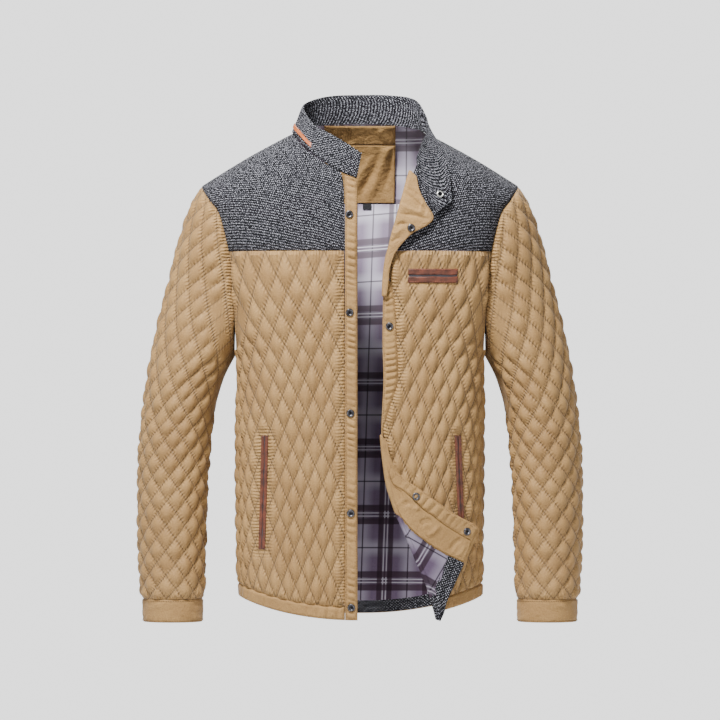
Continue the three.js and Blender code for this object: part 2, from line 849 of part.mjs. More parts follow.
const YOKE_RIGHT_EDGE = edgeTable([
  [-PLACKET_SEAM_X, YOKE_Z],
  [-PLACKET_SEAM_X - 1, -100],
  ...NECK_SEAM_RIGHT.slice(0, -1).map(({ x, z }) => [x, z]),
]);
const YOKE_LEFT_EDGE = edgeTable([
  [41.5, YOKE_Z],
  [50, -123],
  [61.3, -82],
  [76, -38],
  [83, -22],
  [90, -6],
  [NECK_X, NECK_Z],
]);
yoke("yoke_front_right", -1, YOKE_ROWS, 10, (b) => read(YOKE_RIGHT_EDGE, "x", b) - SEAM / 2, -1);
yoke("yoke_front_left", -1, YOKE_ROWS, 10, (b) => read(YOKE_LEFT_EDGE, "x", b) + EDGE_BACK * (b < 85 ? 1 : 0), 1);

// Sleeves and cuffs

function sleeveNodes(hand, fromRun, toRun, rows, gapAtTop, raised) {
  return nodeRows(rows, SLEEVE_COLUMNS, (i, j) => {
    const run = fromRun + ((toRun - fromRun) * j) / rows + (j === 0 ? gapAtTop : 0);
    const centre = SLEEVE_COLUMNS / 2;
    const around = ((i - centre) * SLEEVE_PITCH) / 2;
    const side = around < 0 ? -1 : 1;
    const high = max(0, sleeveLevel(side, run).half - SEAM / 2);
    const a = abs(around) > high - SNAP_TO_EDGE ? side * high : around;
    const onBorder = abs(a) === high || j === 0 || j === rows;
    const atUnderarm = high - abs(a) < UNDERARM_FLAT && abs(run - CAP_ROWS) < 4;
    const node = { a, b: run, puff: raised && !onBorder && !atUnderarm && (i + j) % 2 === 1 ? PUFF : 0 };
    if (abs(a) === high && run <= CAP_ROWS) node.normal = handed(armholeNormal(side, capZ(run)), hand);
    return node;
  });
}

function sleeve(name, hand) {
  const at = (a, b) => handed(onSleeve(a, b), hand);
  wall(name, {
    nodes: sleeveNodes(hand, 0, CAP_ROWS + ARM_ROWS, CAP_ROWS + ARM_ROWS, 0, true),
    at,
    flip: -hand,
    thickness: SHELL,
    colour: CLOTH_TAN,
    keepRow: CAP_ROWS,
    stations: (from, to) => {
      if (!from.normal || !to.normal || from.a * to.a < 0 || from.b === to.b) return [];
      const side = from.a + to.a < 0 ? -1 : 1;
      return stationsBetween(capZ(from.b), capZ(to.b)).map((z) => {
        const run = (CAP_ROWS * (z - SHOULDER_Z)) / (UNDERARM_Z - SHOULDER_Z);
        return {
          a: side * (sleeveLevel(side, run).half - SEAM / 2),
          b: run,
          puff: 0,
          normal: handed(armholeNormal(side, z), hand),
        };
      });
    },
  });
}

function cuff(name, hand) {
  const last = CAP_ROWS + ARM_ROWS;
  wall(name, {
    nodes: sleeveNodes(hand, last, last + 2, 2, 0.02, false),
    at: (a, b) => handed(onSleeve(a, b), hand),
    flip: -hand,
    thickness: SHELL,
    colour: CLOTH_TAN,
  });
}

sleeve("sleeve_left", 1);
sleeve("sleeve_right", -1);
cuff("cuff_left", 1);
cuff("cuff_right", -1);

yokeBack();

// The back yoke is one piece from armhole to armhole, cut away for the neck.
function yokeBack() {
  const neckColumns = 5;
  const outerColumns = 4;
  const half = neckColumns + outerColumns;
  const nodes = nodeRows(YOKE_ROWS, 2 * half, (i, j) => {
    const hand = i < half ? -1 : 1;
    const step = abs(i - half);
    const share = 1 - j / YOKE_ROWS;
    const inNeck = step <= neckColumns;
    const neckX = NECK_X * sin((min(step, neckColumns) / neckColumns) * (PI / 2));
    const topB = inNeck ? yokeB(neckX, read(NECK_BACK, "z", neckX)) : 100;
    const b = topB * share;
    const edge = yokeEdgeX(b) - SEAM / 2;
    const x = inNeck ? neckX : NECK_X + ((edge - NECK_X) * (step - neckColumns)) / outerColumns;
    const onEdge = step === half;
    const node = { a: hand * x, b: b - (b === 100 ? 0.1 : 0) + (b === 0 ? 0.4 : 0), puff: 0 };
    if (onEdge) node.normal = handed(armholeNormal(1, onYoke(1)(edge, b).z), hand);
    return node;
  });
  wall("yoke_back", {
    nodes,
    at: onYoke(1),
    flip: -1,
    thickness: YOKE_CLOTH,
    colour: TWEED_GREY,
    coarse: false,
    stations: yokeStations(1),
  });
}

// Pieces that lie on or in the body's surface: a is x and b is z

function bodyAt(side) {
  return (x, z) => new THREE.Vector3(x, bodyY(side, x, z), z);
}

// Nodes between two edges, from a table with a row for each level: left x and z, right x and z.
function between(rows, columns, levels = rows.length - 1) {
  const table4 = rows.map(([leftX, leftZ, rightX, rightZ], level) => ({ level, leftX, leftZ, rightX, rightZ }));
  return nodeRows(levels, columns, (i, j) => {
    const level = (j / levels) * (rows.length - 1);
    const share = i / columns;
    const edge = (column) => read(table4, column, level);
    return {
      a: edge("leftX") + (edge("rightX") - edge("leftX")) * share,
      b: edge("leftZ") + (edge("rightZ") - edge("leftZ")) * share,
      puff: 0,
    };
  });
}

function hemBand(name, side, from, to, columns) {
  const nodes = nodeRows(2, columns, (i, j) => {
    const a = from + ((to - from) * i) / columns;
    const x = onBody(side, a, HEM_Z + HEM_SIDE_RISE).x;
    return { a, b: hemZ(x) + HEM_BAND * (1 - j / 2), puff: 0 };
  });
  const at = (a, b) => onBody(side, a, b);
  wall(name, { nodes, at, flip: -side, thickness: BAND_CLOTH, colour: CLOTH_TAN, coarse: false });
}

const HEM_LIMIT = quarterLength(-1, HEM_Z + HEM_SIDE_RISE);
const BACK_LIMIT = quarterLength(1, HEM_Z + HEM_SIDE_RISE);
hemBand("hem_band_right", -1, -HEM_LIMIT, -PLACKET_SEAM_X - SEAM, 14);
hemBand("hem_band_left", -1, alongAtX(-1, read(CORNER_ROLL, "x", HEM_Z) + EDGE_BACK, HEM_Z), HEM_LIMIT, 10);
hemBand("hem_band_back", 1, -BACK_LIMIT, BACK_LIMIT, 24);

function placketRight() {
  const top = (x) => read(NECK_SEAM_RIGHT, "z", x) - 1;
  const nodes = nodeRows(26, 2, (i, j) => {
    const a = -PLACKET_SEAM_X + ((PLACKET_SEAM_X - PLACKET_EDGE_X) * i) / 2;
    return { a, b: top(a) + ((hemZ(a) - top(a)) * j) / 26, puff: 0 };
  });
  wall("placket_right", { nodes, at: bodyAt(-1), thickness: BAND_CLOTH, colour: CLOTH_TAN, coarse: false });
}
placketRight();

function placketLeft() {
  const nodes = nodeRows(14, 2, (i, j) => {
    const b = PLACKET_LEFT.at(-1).z + ((PLACKET_LEFT[0].z - PLACKET_LEFT.at(-1).z) * j) / 14;
    const edge = read(PLACKET_LEFT, "edge", b);
    const seam = read(PLACKET_LEFT, "seam", b) - SEAM;
    return { a: edge + ((seam - edge) * i) / 2, b, puff: 0 };
  });
  wall("placket_left", { nodes, at: bodyAt(-1), thickness: BAND_CLOTH, colour: CLOTH_TAN, coarse: false });
}
placketLeft();

// Turned edges: the cloth goes round a fold and lies on the front, a runs over the fold and then outwards

const FOLD_SHARE = 30; // the part of a that is the fold, of 100

function turned(rows, depthAt) {
  const levels = rows.map(([leftX, leftZ, rightX, rightZ], level) => ({ level, leftX, leftZ, rightX, rightZ }));
  return (a, b) => {
    const [leftX, leftZ, rightX, rightZ] = ["leftX", "leftZ", "rightX", "rightZ"].map((c) => read(levels, c, b));
    const length = Math.hypot(rightX - leftX, rightZ - leftZ);
    const [ex, ez] = [(rightX - leftX) / length, (rightZ - leftZ) / length];
    const share = max(0, a - FOLD_SHARE) / (100 - FOLD_SHARE);
    const turn = (min(a, FOLD_SHARE) / FOLD_SHARE - 0.5) * PI;
    const out = FOLD_RADIUS * (1 - cos(turn)) + (length - FOLD_RADIUS) * share;
    const x = leftX + ex * out;
    const z = leftZ + ez * out;
    return new THREE.Vector3(x, depthAt(x, z) - SHELL - FOLD_RADIUS * (1 + sin(turn)), z);
  };
}

function turnedPiece(name, rows, depthAt, thickness, colour) {
  const shares = [0, 7.5, 15, 22.5, 30, 41, 53, 65, 77, 89, 100];
  const nodes = nodeRows(rows.length - 1, shares.length - 1, (i, j) => ({ a: shares[i], b: j, puff: 0 }));
  wall(name, { nodes, at: turned(rows, depthAt), flip: -1, thickness, colour, coarse: false });
}

turnedPiece("lapel_left", LAPEL, (x, z) => bodyY(-1, x, z), SHELL, CLOTH_TAN);

const cornerDepth = (x) => -FRONT_DEPTH - 2 + 0.0016 * (x - 30) ** 2;
turnedPiece("corner_shell", CORNER, cornerDepth, SHELL, CLOTH_TAN);

// On the turned corner its inside shows: placket, facing, lining and hem facing
function cornerFace(x, z) {
  return new THREE.Vector3(x, cornerDepth(x) - SHELL - 2 * FOLD_RADIUS - SHELL - CORNER_LAYER, z);
}

function cornerPiece(name, colour, columns, rows) {
  wall(name, { nodes: between(rows, columns), at: cornerFace, thickness: PLAIN_CLOTH, colour, coarse: false });
}

for (const [name, { colour, columns, rows }] of Object.entries(CORNER_PIECES)) {
  cornerPiece(name, colour, columns, rows);
}

// Collar: a band from the neck seam to the rim; it stands at the wearer's right and flops outwards at the left
function onCollar(run, height) {
  const value = (column) => read(COLLAR, column, run);
  const behind = run > COLLAR_BACK_RUNS[0] && run < COLLAR_BACK_RUNS[1];
  const seatY = bodyY(behind ? 1 : -1, value("seamX"), value("seamZ"));
  const seam = new THREE.Vector3(value("seamX"), seatY - value("lift"), value("seamZ") + value("rise"));
  const rim = new THREE.Vector3(value("rimX"), value("rimY"), value("rimZ"));
  return seam.lerp(rim, height / 10);
}

function collarPiece(name, fromRun, toRun, columns, fromHeight, toHeight, rows, lift, thickness, colour) {
  const nodes = nodeRows(rows, columns, (i, j) => ({
    a: fromRun + ((toRun - fromRun) * i) / columns,
    b: fromHeight + ((toHeight - fromHeight) * j) / rows,
    puff: 0,
  }));
  wall(name, { nodes, at: onCollar, flip: -1, thickness, colour, lift, coarse: false });
}
collarPiece("collar", 0, 16, 32, 0, 10, 3, 0, COLLAR_CLOTH, TWEED_GREY);
collarPiece("collar_tab", 3, 5, 8, 1.3, 3, 1, COLLAR_CLOTH + SEAM, LEATHER, LEATHER_BROWN);

// Inside of the back: lining, hem facing, neck facing, locker patch and a blank label

function liningAt(along, z) {
  if (z <= YOKE_Z) return onBody(1, along, z);
  const { x } = onBody(1, along, YOKE_Z);
  const inset = min(1, (z - YOKE_Z) / 20);
  return new THREE.Vector3(x, bodyY(1, x, z) - inset, z);
}

function liningBack() {
  const panelRows = [0, 2, 4, 5, 6, 8, 10, 12, 14, 16, 18, 20];
  const columns = BACK_COLUMNS / 2;
  const nodes = nodeRows(LINING_TOP.length + panelRows.length - 1, columns, (i, j) => {
    const along = (i - columns / 2) * BACK_PITCH;
    const hand = along < 0 ? -1 : 1;
    if (j < LINING_TOP.length) return { a: hand * min(abs(along), LINING_TOP_HALF), b: LINING_TOP[j], puff: 0 };
    const row = panelRows[j - LINING_TOP.length];
    const limit = limitAlong(1, row) - 14;
    const a = min(abs(along), limit);
    return { a: hand * a, b: quiltZ(1, row, a) + (row === FRONT_ROWS ? 0.6 : 0), puff: 0 };
  });
  const lift = -LINING_GAP - PLAIN_CLOTH;
  wall("lining_back", {
    nodes, at: liningAt, flip: -1, thickness: PLAIN_CLOTH, colour: LINING_PLAID, lift, coarse: false,
  });
}
liningBack();

function hemFacing() {
  const nodes = nodeRows(1, 20, (i, j) => {
    const a = -BACK_LIMIT + 6 + ((2 * BACK_LIMIT - 12) * i) / 20;
    const x = onBody(1, a, HEM_Z + HEM_SIDE_RISE).x;
    return { a, b: hemZ(x) + HEM_BAND - 0.5 - (HEM_BAND - 1.5) * j, puff: 0 };
  });
  const at = (a, b) => onBody(1, a, b);
  wall("hem_facing_back", {
    nodes, at, flip: -1, thickness: PLAIN_CLOTH, colour: TWEED_GREY, lift: -1 - PLAIN_CLOTH, coarse: false,
  });
}
hemFacing();

function neckPiece(name, rows, columns, levels, lift, colour) {
  const nodes = between(rows, columns, levels);
  wall(name, { nodes, at: bodyAt(1), flip: -1, thickness: PLAIN_CLOTH, colour, lift, coarse: false });
}
neckPiece("neck_facing", [[-52, 19, 52, 19], [-52, -2.5, 52, -2.5]], 8, 2, INSIDE, CLOTH_TAN);
neckPiece("locker_patch", [[-52, -3, 52, -3], [-50, -87.5, 50, -87.5]], 8, 4, INSIDE, CLOTH_TAN);
neckPiece("neck_label", [[4, -88, 16.5, -88], [4, -96, 16.5, -96]], 1, 1, INSIDE - 2, LABEL_BLACK);

// Leather welts

function welt(name, at, nodes) {
  wall(name, { nodes, at, thickness: LEATHER, colour: LEATHER_BROWN, lift: SHELL + 0.4, coarse: false });
}

const frontAt = (a, b) => onBody(-1, a, b);
for (const [front, pocket] of Object.entries(HAND_POCKETS)) {
  const hand = front === "front_left" ? 1 : -1;
  for (const [edge, sideOf] of [["outer", 1], ["inner", -1]]) {
    const nodes = nodeRows(8, 1, (i, j) => {
      const z = pocket.topZ + ((pocket.bottomZ - pocket.topZ) * j) / 8;
      const out = WELT_SLIT / 2 + WELT_WIDTH * i;
      return { a: hand * (pocketAlong(pocket, z) + sideOf * out), b: z, puff: 0 };
    });
    welt(`hand_welt_${hand > 0 ? "left" : "right"}_${edge}`, frontAt, nodes);
  }
}

const chestHeight = (CHEST_POCKET.topZ - CHEST_POCKET.bottomZ - CHEST_POCKET.slit) / 2;
for (const [name, topZ] of [["chest_welt_upper", CHEST_POCKET.topZ], ["chest_welt_lower", CHEST_POCKET.bottomZ + chestHeight]]) {
  const nodes = nodeRows(1, 8, (i, j) => {
    const x = CHEST_POCKET.fromX + ((CHEST_POCKET.toX - CHEST_POCKET.fromX) * i) / 8;
    return { a: alongAtX(-1, x, topZ), b: topZ - chestHeight * j, puff: 0 };
  });
  welt(name, frontAt, nodes);
}

// Press snaps: a rimmed metal disc on the cloth

function snap(name, at, a, b, lift, flip = 1) {
  const profile = [
    [0, 0],
    [SNAP_RADIUS, 0],
    [SNAP_RADIUS, 1.2],
    [SNAP_RADIUS * 0.8, SNAP_HEIGHT],
    [SNAP_RADIUS * 0.5, SNAP_HEIGHT],
    [SNAP_RADIUS * 0.4, 1.3],
    [0, 1.3],
  ].map(([radius, height]) => new THREE.Vector2(radius, height));
  const material = new THREE.MeshStandardMaterial({ color: SNAP_METAL, roughness: 0.35, metalness: 0.9 });
  const mesh = new THREE.Mesh(new THREE.LatheGeometry(profile, 16), material);
  const normal = normalAt(at, { a, b }, flip);
  mesh.position.copy(at(a, b).addScaledVector(normal, lift));
  mesh.quaternion.setFromUnitVectors(new THREE.Vector3(0, 1, 0), normal);
  mesh.name = name;
  root.add(mesh);
}

PLACKET_SNAPS.forEach(([x, z], i) => snap(`snap_placket_${i + 1}`, bodyAt(-1), x, z, BAND_CLOTH + 0.4));
snap("snap_edge_left", bodyAt(-1), 41.5, -267.5, BAND_CLOTH + 0.4);
const lapelFace = (x, z) => new THREE.Vector3(x, bodyY(-1, x, z) - SHELL - 2 * FOLD_RADIUS - SHELL, z);
snap("snap_lapel", lapelFace, 72, -129, 0.3);
snap("snap_corner_1", cornerFace, 78.5, -507, PLAIN_CLOTH + 0.3);
snap("snap_corner_2", cornerFace, 151, -557, PLAIN_CLOTH + 0.3);
snap("snap_collar", onCollar, 15.45, 5, 0.4, 1);

export default root;
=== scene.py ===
import bmesh
import bpy
import numpy as np
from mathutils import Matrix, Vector


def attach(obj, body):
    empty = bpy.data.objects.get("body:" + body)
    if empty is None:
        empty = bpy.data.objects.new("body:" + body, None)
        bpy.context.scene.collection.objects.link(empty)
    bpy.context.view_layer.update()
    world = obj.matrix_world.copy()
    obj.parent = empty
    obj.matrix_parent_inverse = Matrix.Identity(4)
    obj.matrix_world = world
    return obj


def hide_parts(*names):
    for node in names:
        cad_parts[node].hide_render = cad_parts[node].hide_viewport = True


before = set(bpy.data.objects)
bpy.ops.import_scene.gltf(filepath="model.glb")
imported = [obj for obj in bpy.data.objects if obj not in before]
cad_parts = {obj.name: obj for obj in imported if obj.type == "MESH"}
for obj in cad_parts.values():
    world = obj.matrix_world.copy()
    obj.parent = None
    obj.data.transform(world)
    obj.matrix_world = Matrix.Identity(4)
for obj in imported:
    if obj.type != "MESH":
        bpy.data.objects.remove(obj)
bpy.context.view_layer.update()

# %% [markdown]
# ## Sizes
# The pattern is kept in millimetres, as a pattern cutter would, and turned to metres only when a mesh
# is made. The front is towards -Y, the wearer's left is +X, and the origin is the neck base.
# %% Sizes of the pattern, in millimetres
METRE = 1000
SEAM = 0.3  # left open between two pieces that are sewn together
SHELL = 2.0
YOKE_CLOTH = 1.8
PLAIN_CLOTH = 1.4
LEATHER = 1.3
BAND_CLOTH = 2.4
COLLAR_CLOTH = 2.4
SQUARE = 3.2
FRONT_DEPTH = 118.0
BACK_DEPTH = 113.0
YOKE_Z = -161.0
UNDERARM_Z = -306.0
HEM_Z = -682.0
HEM_SIDE_RISE = 31.0
HEM_BAND = 17.0
HALF_BREADTH = 170.0
NECK_X = 95.0
NECK_Z = 7.0
NECK_RISE = 47.0
SHOULDER_X = 226.0
SHOULDER_SLOPE = 0.5
SHOULDER_DROOP = 0.0006
ROLL = 2.2
FRONT_ROWS = 20
FIRST_ROW = 32.0
SIDE_ROWS = 5
PANEL_COLUMNS = 24
BACK_COLUMNS = 44
BACK_PITCH = 24.0
CAP_ROWS = 13
ARM_ROWS = 17
SLEEVE_COLUMNS = 30
SLEEVE_PITCH = 27.0
PLACKET_SEAM_X = 21.0
PLACKET_EDGE_X = 3.5
PLACKET_LAP = 1.2  # the left front runs this far under its placket
FOLD_RADIUS = 3.2
EDGE_BACK = FOLD_RADIUS + 0.5
FOLD_SHARE = 30.0  # the part of a turned strip, out of 100, that lies round its fold
LAPEL_END_Z = -203
CORNER_TOP_Z = -412
SEAM_BLEND = 9.0  # over this width a piece takes on the slope of the armhole seam
UNDERARM_PRESSED = (46.0, 26.0)  # from the side seam, where the sleeve starts to press and presses fully


# %% [markdown]
# ## Tables and smooth curves
# A garment's lines are curves through a few measured points. Each table has named columns, and `read`
# gives a smooth value between its rows for a whole array of places at once.
# %% Tables
def table(names, rows):
    columns = np.array(rows, float).T
    return dict(zip(names.split(), columns, strict=True))


def read(rows, column, at):
    keys = next(iter(rows.values()))
    values = rows[column]
    last = len(keys) - 1
    above = np.minimum(np.arange(last + 1) + 1, last)
    below = np.maximum(np.arange(last + 1) - 1, 0)
    slopes = (values[above] - values[below]) / (keys[above] - keys[below])
    place = np.clip(at, keys[0], keys[-1])
    i = np.clip(np.searchsorted(keys, place) - 1, 0, last - 1)
    width = keys[i + 1] - keys[i]
    t = (place - keys[i]) / width
    rise = values[i + 1] - values[i]
    start_bend = slopes[i] * width - rise
    end_bend = rise - slopes[i + 1] * width
    return values[i] + rise * t + t * (1 - t) * (start_bend * (1 - t) + end_bend * t)


def smooth_step(low, high, value):
    t = np.clip((value - low) / (high - low), 0, 1)
    return t * t * (3 - 2 * t)


BREADTH = table("z breadth", [(-682, 170), (-500, 171), (-400, 172.5), (-306, 174.5)])
SHOULDER_Z = NECK_Z - SHOULDER_SLOPE * (SHOULDER_X - NECK_X) - SHOULDER_DROOP * (SHOULDER_X - NECK_X) ** 2
ARMHOLE = table(
    "z x slack",
    [
        (-306, 174.5, 0),
        (-290, 175.5, 2.2),
        (-273, 177, 5),
        (-246, 178, 8.5),
        (-218, 181, 10.5),
        (-190, 182, 12),
        (-161, 186, 13.5),
        (-126, 194, 15),
        (-103, 202, 16),
        (-88, 214, 17),
        (SHOULDER_Z, SHOULDER_X, 18),
    ],
)
PITCH = table(
    "z pitch",
    [(-665, 19.5), (-597, 20.3), (-512, 20.6), (-371, 21.9), (-268, 24.3), (-194, 26), (-161, 26.5)],
)
SLEEVE_OUTER = table(
    "run x z",
    [
        (0, 226, SHOULDER_Z),
        (2, 243, -110),
        (4, 256, -150),
        (7, 272, -214),
        (10, 288, -278),
        (13, 300, -342),
        (16, 308, -401),
        (19, 312, -451),
        (24, 313, -544),
        (27, 311.5, -601),
        (30, 308.5, -655),
        (32, 308, -688),
    ],
)
SLEEVE_INNER = table(
    "run x z",
    [
        (13, 179.3, -306),
        (15, 197, -342),
        (18, 213, -401),
        (20, 218, -440),
        (24, 222.5, -520),
        (30, 226, -655),
        (32, 226.5, -688),
    ],
)
SLEEVE_DEPTH = table(
    "run depth forward",
    [(6.7, 69, 0), (13, 65, 0), (20, 57, -4), (30, 47, -12), (32, 46, -13)],
)
UNDERARM_LAP = 4.8
LAP_TOP_Z = -240.0
SLEEVE_ARC_PIECES = 24
print("shoulder point at", round(SHOULDER_Z, 1), "mm")


# %% [markdown]
# ## The body
# A filled-out body is neither round nor square: at each level it is a rounded section, flat in front
# and behind. The cloth is laid on it by its length along that section, so that the quilting keeps its
# real spacing as it goes round to the sides.
# %% The body's surface
ARC_TURNS = np.linspace(0, np.pi / 2, 241)
ARC_X = HALF_BREADTH * np.sin(ARC_TURNS) ** (2 / SQUARE)
ARC_Y = FRONT_DEPTH * np.abs(np.cos(ARC_TURNS)) ** (2 / SQUARE)
ARC_STEPS = np.hypot(np.diff(ARC_X), np.diff(ARC_Y))
ARC_SHARES = np.concatenate([[0], np.cumsum(ARC_STEPS)]) / ARC_STEPS.sum()
ARC_RATIO = ARC_STEPS.sum() / (HALF_BREADTH + FRONT_DEPTH)


def depth_of(side):
    return np.where(np.asarray(side) < 0, FRONT_DEPTH, BACK_DEPTH)


def armhole_x(z):
    return read(ARMHOLE, "x", z)


def half_breadth(z):
    above = armhole_x(z) + np.maximum(0, read(ARMHOLE, "slack", z))
    return np.where(z <= UNDERARM_Z, read(BREADTH, "breadth", z), above)


def quarter_length(side, z):
    return ARC_RATIO * (half_breadth(z) + depth_of(side))


def on_body(side, along, z):
    along, z = np.broadcast_arrays(np.asarray(along, float), np.asarray(z, float))
    share = np.minimum(1, np.abs(along) / quarter_length(side, z))
    turn = np.interp(share, ARC_SHARES, ARC_TURNS)
    x = np.sign(along) * half_breadth(z) * np.sin(turn) ** (2 / SQUARE)
    depth = depth_of(side) * np.maximum(0, np.cos(turn)) ** (2 / SQUARE)
    return np.stack([x, side * np.maximum(SEAM / 2, depth), z], -1)


def along_at_x(side, x, z):
    turn = np.arcsin(np.minimum(1, (np.abs(x) / half_breadth(z)) ** (SQUARE / 2)))
    return np.interp(turn, ARC_TURNS, ARC_SHARES) * quarter_length(side, z)


def armhole_along(side, z):
    return along_at_x(side, armhole_x(z), z)


def shoulder_z(x):
    out = np.abs(x) - NECK_X
    sloped = NECK_Z - SHOULDER_SLOPE * out - SHOULDER_DROOP * out * out
    return np.where(out > 0, sloped, NECK_Z + NECK_RISE * (1 - (x / NECK_X) ** 2))


def share_across(x, z):
    """The body's depth at x as a share of its depth in the middle."""
    return np.maximum(0, 1 - np.minimum(1, np.abs(x) / half_breadth(z)) ** SQUARE) ** (1 / SQUARE)


def body_y(side, x, z):
    height = np.clip((z - YOKE_Z) / (shoulder_z(x) - YOKE_Z), 0, 1)
    roll = (1 - height**ROLL) ** (1 / ROLL)
    return side * depth_of(side) * roll * share_across(x, z)


def arc_at(side):
    return lambda along, z: on_body(side, along, z)


def body_at(side):
    return lambda x, z: np.stack([x, body_y(side, x, z), z], -1)


def hem_z(x):
    return HEM_Z + HEM_SIDE_RISE * np.minimum(1, np.abs(x) / HALF_BREADTH) ** 2.2


print("half round at the underarm:", quarter_length(-1, np.array(UNDERARM_Z)).round(1), "mm")


# %% [markdown]
# ## Shoulders and sleeves
# The yokes roll over the shoulder line. A sleeve is a bent tube: each level is part of an ellipse
# between its outer line and the armhole seam, or the inner seam further down.
# %% Yoke and sleeve surfaces
def on_yoke(side, x, b):
    turn = b / 100 * (np.pi / 2)
    height = np.maximum(0, np.sin(turn)) ** (2 / ROLL)
    roll = np.sign(np.cos(turn)) * np.abs(np.cos(turn)) ** (2 / ROLL)
    z = YOKE_Z + height * (shoulder_z(x) - YOKE_Z)
    return np.stack([x, side * depth_of(side) * roll * share_across(x, z), z], -1)


def yoke_b(x, z):
    height = np.clip((z - YOKE_Z) / (shoulder_z(x) - YOKE_Z), 0, 1)
    return np.arcsin(height ** (ROLL / 2)) / (np.pi / 2) * 100


EDGE_ROUNDS = 40


def yoke_edge_x(b):
    height = np.sin(b / 100 * (np.pi / 2)) ** (2 / ROLL)
    x = np.full_like(height, ARMHOLE["x"].mean())
    for _ in range(EDGE_ROUNDS):
        x = armhole_x(YOKE_Z + height * (shoulder_z(x) - YOKE_Z))
    return x


def cap_z(run):
    return SHOULDER_Z + (UNDERARM_Z - SHOULDER_Z) * np.minimum(1, run / CAP_ROWS)


def sleeve_level(side, run):
    outer = np.stack([read(SLEEVE_OUTER, "x", run), read(SLEEVE_OUTER, "z", run)], -1)
    in_cap = run < CAP_ROWS
    seam_z = cap_z(np.maximum(0, run))
    lap = UNDERARM_LAP * smooth_step(0, 1, (LAP_TOP_Z - seam_z) / (LAP_TOP_Z - UNDERARM_Z))
    inner_z = np.where(in_cap, seam_z, read(SLEEVE_INNER, "z", run))
    inner_x = np.where(in_cap, armhole_x(seam_z) + lap, read(SLEEVE_INNER, "x", run))
    across = outer - np.stack([inner_x, inner_z], -1)
    length = np.hypot(across[..., 0], across[..., 1])
    reach = np.where(in_cap, np.abs(body_y(side, armhole_x(seam_z), seam_z)), 0)
    depth = np.where(run < SLEEVE_DEPTH["run"][0], reach, np.maximum(reach, read(SLEEVE_DEPTH, "depth", run)))
    cut = np.sqrt(np.maximum(0, 1 - (reach / np.maximum(depth, 1e-9)) ** 2)) * (depth > 0)
    width = length / (1 + cut)
    last_turn = np.arccos(-cut)
    turns = (np.arange(SLEEVE_ARC_PIECES) + 0.5) / SLEEVE_ARC_PIECES * last_turn[..., None]
    pieces = np.hypot(width[..., None] * np.sin(turns), depth[..., None] * np.cos(turns))
    half = pieces.sum(-1) * last_turn / SLEEVE_ARC_PIECES
    inwards = across / np.maximum(length, 1e-9)[..., None]
    return outer, inwards, width, depth, last_turn, half


def on_sleeve(around, run):
    around, run = np.broadcast_arrays(np.asarray(around, float), np.asarray(run, float))
    side = np.where(around < 0, -1, 1)
    outer, inwards, width, depth, last_turn, half = sleeve_level(side, run)
    share = np.minimum(1, np.abs(around) / np.maximum(half, 1e-9))
    turn = share * last_turn
    reach = width * (1 - np.cos(turn))
    x = outer[..., 0] - inwards[..., 0] * reach
    y = side * depth * np.sin(turn) + read(SLEEVE_DEPTH, "forward", run)
    return np.stack([x, y, outer[..., 1] - inwards[..., 1] * reach], -1)


# %% [markdown]
# ## Normals and the drape
# Thickness and puffs stand out along the surface's normal, which is found by stepping a little to each
# side. Real cloth is never as even as a formula, so a slow wave moves the whole body by up to 2 mm. It
# depends only on the place in space, so every piece at a seam moves with its neighbour.
# %% Normals, mirroring and drape
def unit(vectors):
    return vectors / np.maximum(np.linalg.norm(vectors, axis=-1, keepdims=True), 1e-9)


def normal_at(at, a, b, flip=1, reach=0.5):
    across = at(a + reach, b) - at(a - reach, b)
    down = at(a, b + reach) - at(a, b - reach)
    return unit(np.cross(across, down) * np.asarray(flip)[..., None])


def blended(first, second, weight):
    return unit(first * (1 - weight[..., None]) + second * weight[..., None])


def handed(points, hand):
    return points * np.array([hand, 1, 1])


def armhole_normal(side, z):
    on_yoke_part = z > YOKE_Z
    x = armhole_x(z)
    above = normal_at(lambda a, b: on_yoke(side, a, b), x, yoke_b(x, z), -side)
    low_z = np.minimum(z, YOKE_Z)
    below = normal_at(arc_at(side), armhole_along(side, low_z) - 1, low_z, -side)
    run = CAP_ROWS * (z - SHOULDER_Z) / (UNDERARM_Z - SHOULDER_Z)
    half = sleeve_level(side, run)[-1]
    sleeve = normal_at(on_sleeve, side * (half - 1), run, -1)
    return unit(np.where(on_yoke_part[..., None], above, below) + sleeve)


DRAPE_PLAN = (175, 115, 2.2)  # half breadth, half depth and squareness of the body from above


def drape(points):
    x, y, z = points[..., 0], points[..., 1], points[..., 2]
    half_x, half_y, square = DRAPE_PLAN
    plan_x = np.sign(x) * (np.abs(x) / half_x) ** square / half_x
    plan_y = np.sign(y) * (np.abs(y) / half_y) ** square / half_y
    length = np.maximum(np.hypot(plan_x, plan_y), 1e-6)
    phase = np.where(y < 0, 0.0, 2.1)
    wave = 1.1 * np.sin(x / 41 + z / 88 + phase) + 0.9 * np.sin(x / 23 - z / 61 + 1.7 + phase)
    fade = smooth_step(-95, -190, z) * (1 - smooth_step(120, 165, np.abs(x)) * smooth_step(-360, -310, z))
    moved = points.copy()
    moved[..., 0] += wave * fade * plan_x / length
    moved[..., 1] += wave * fade * plan_y / length
    return moved


# %% [markdown]
# ## Materials
# Every material is made from nodes, so it needs no image. Cloth patterns read a UV map in which one
# unit is one metre of cloth, so that a 1.5 mm thread is 1.5 mm wide wherever the cloth goes.
# %% Colour and node helpers
def linear(code, alpha=1.0):
    channels = [int(code[k : k + 2], 16) / 255 for k in (1, 3, 5)]
    return (*[c / 12.92 if c <= 0.04045 else ((c + 0.055) / 1.055) ** 2.4 for c in channels], alpha)


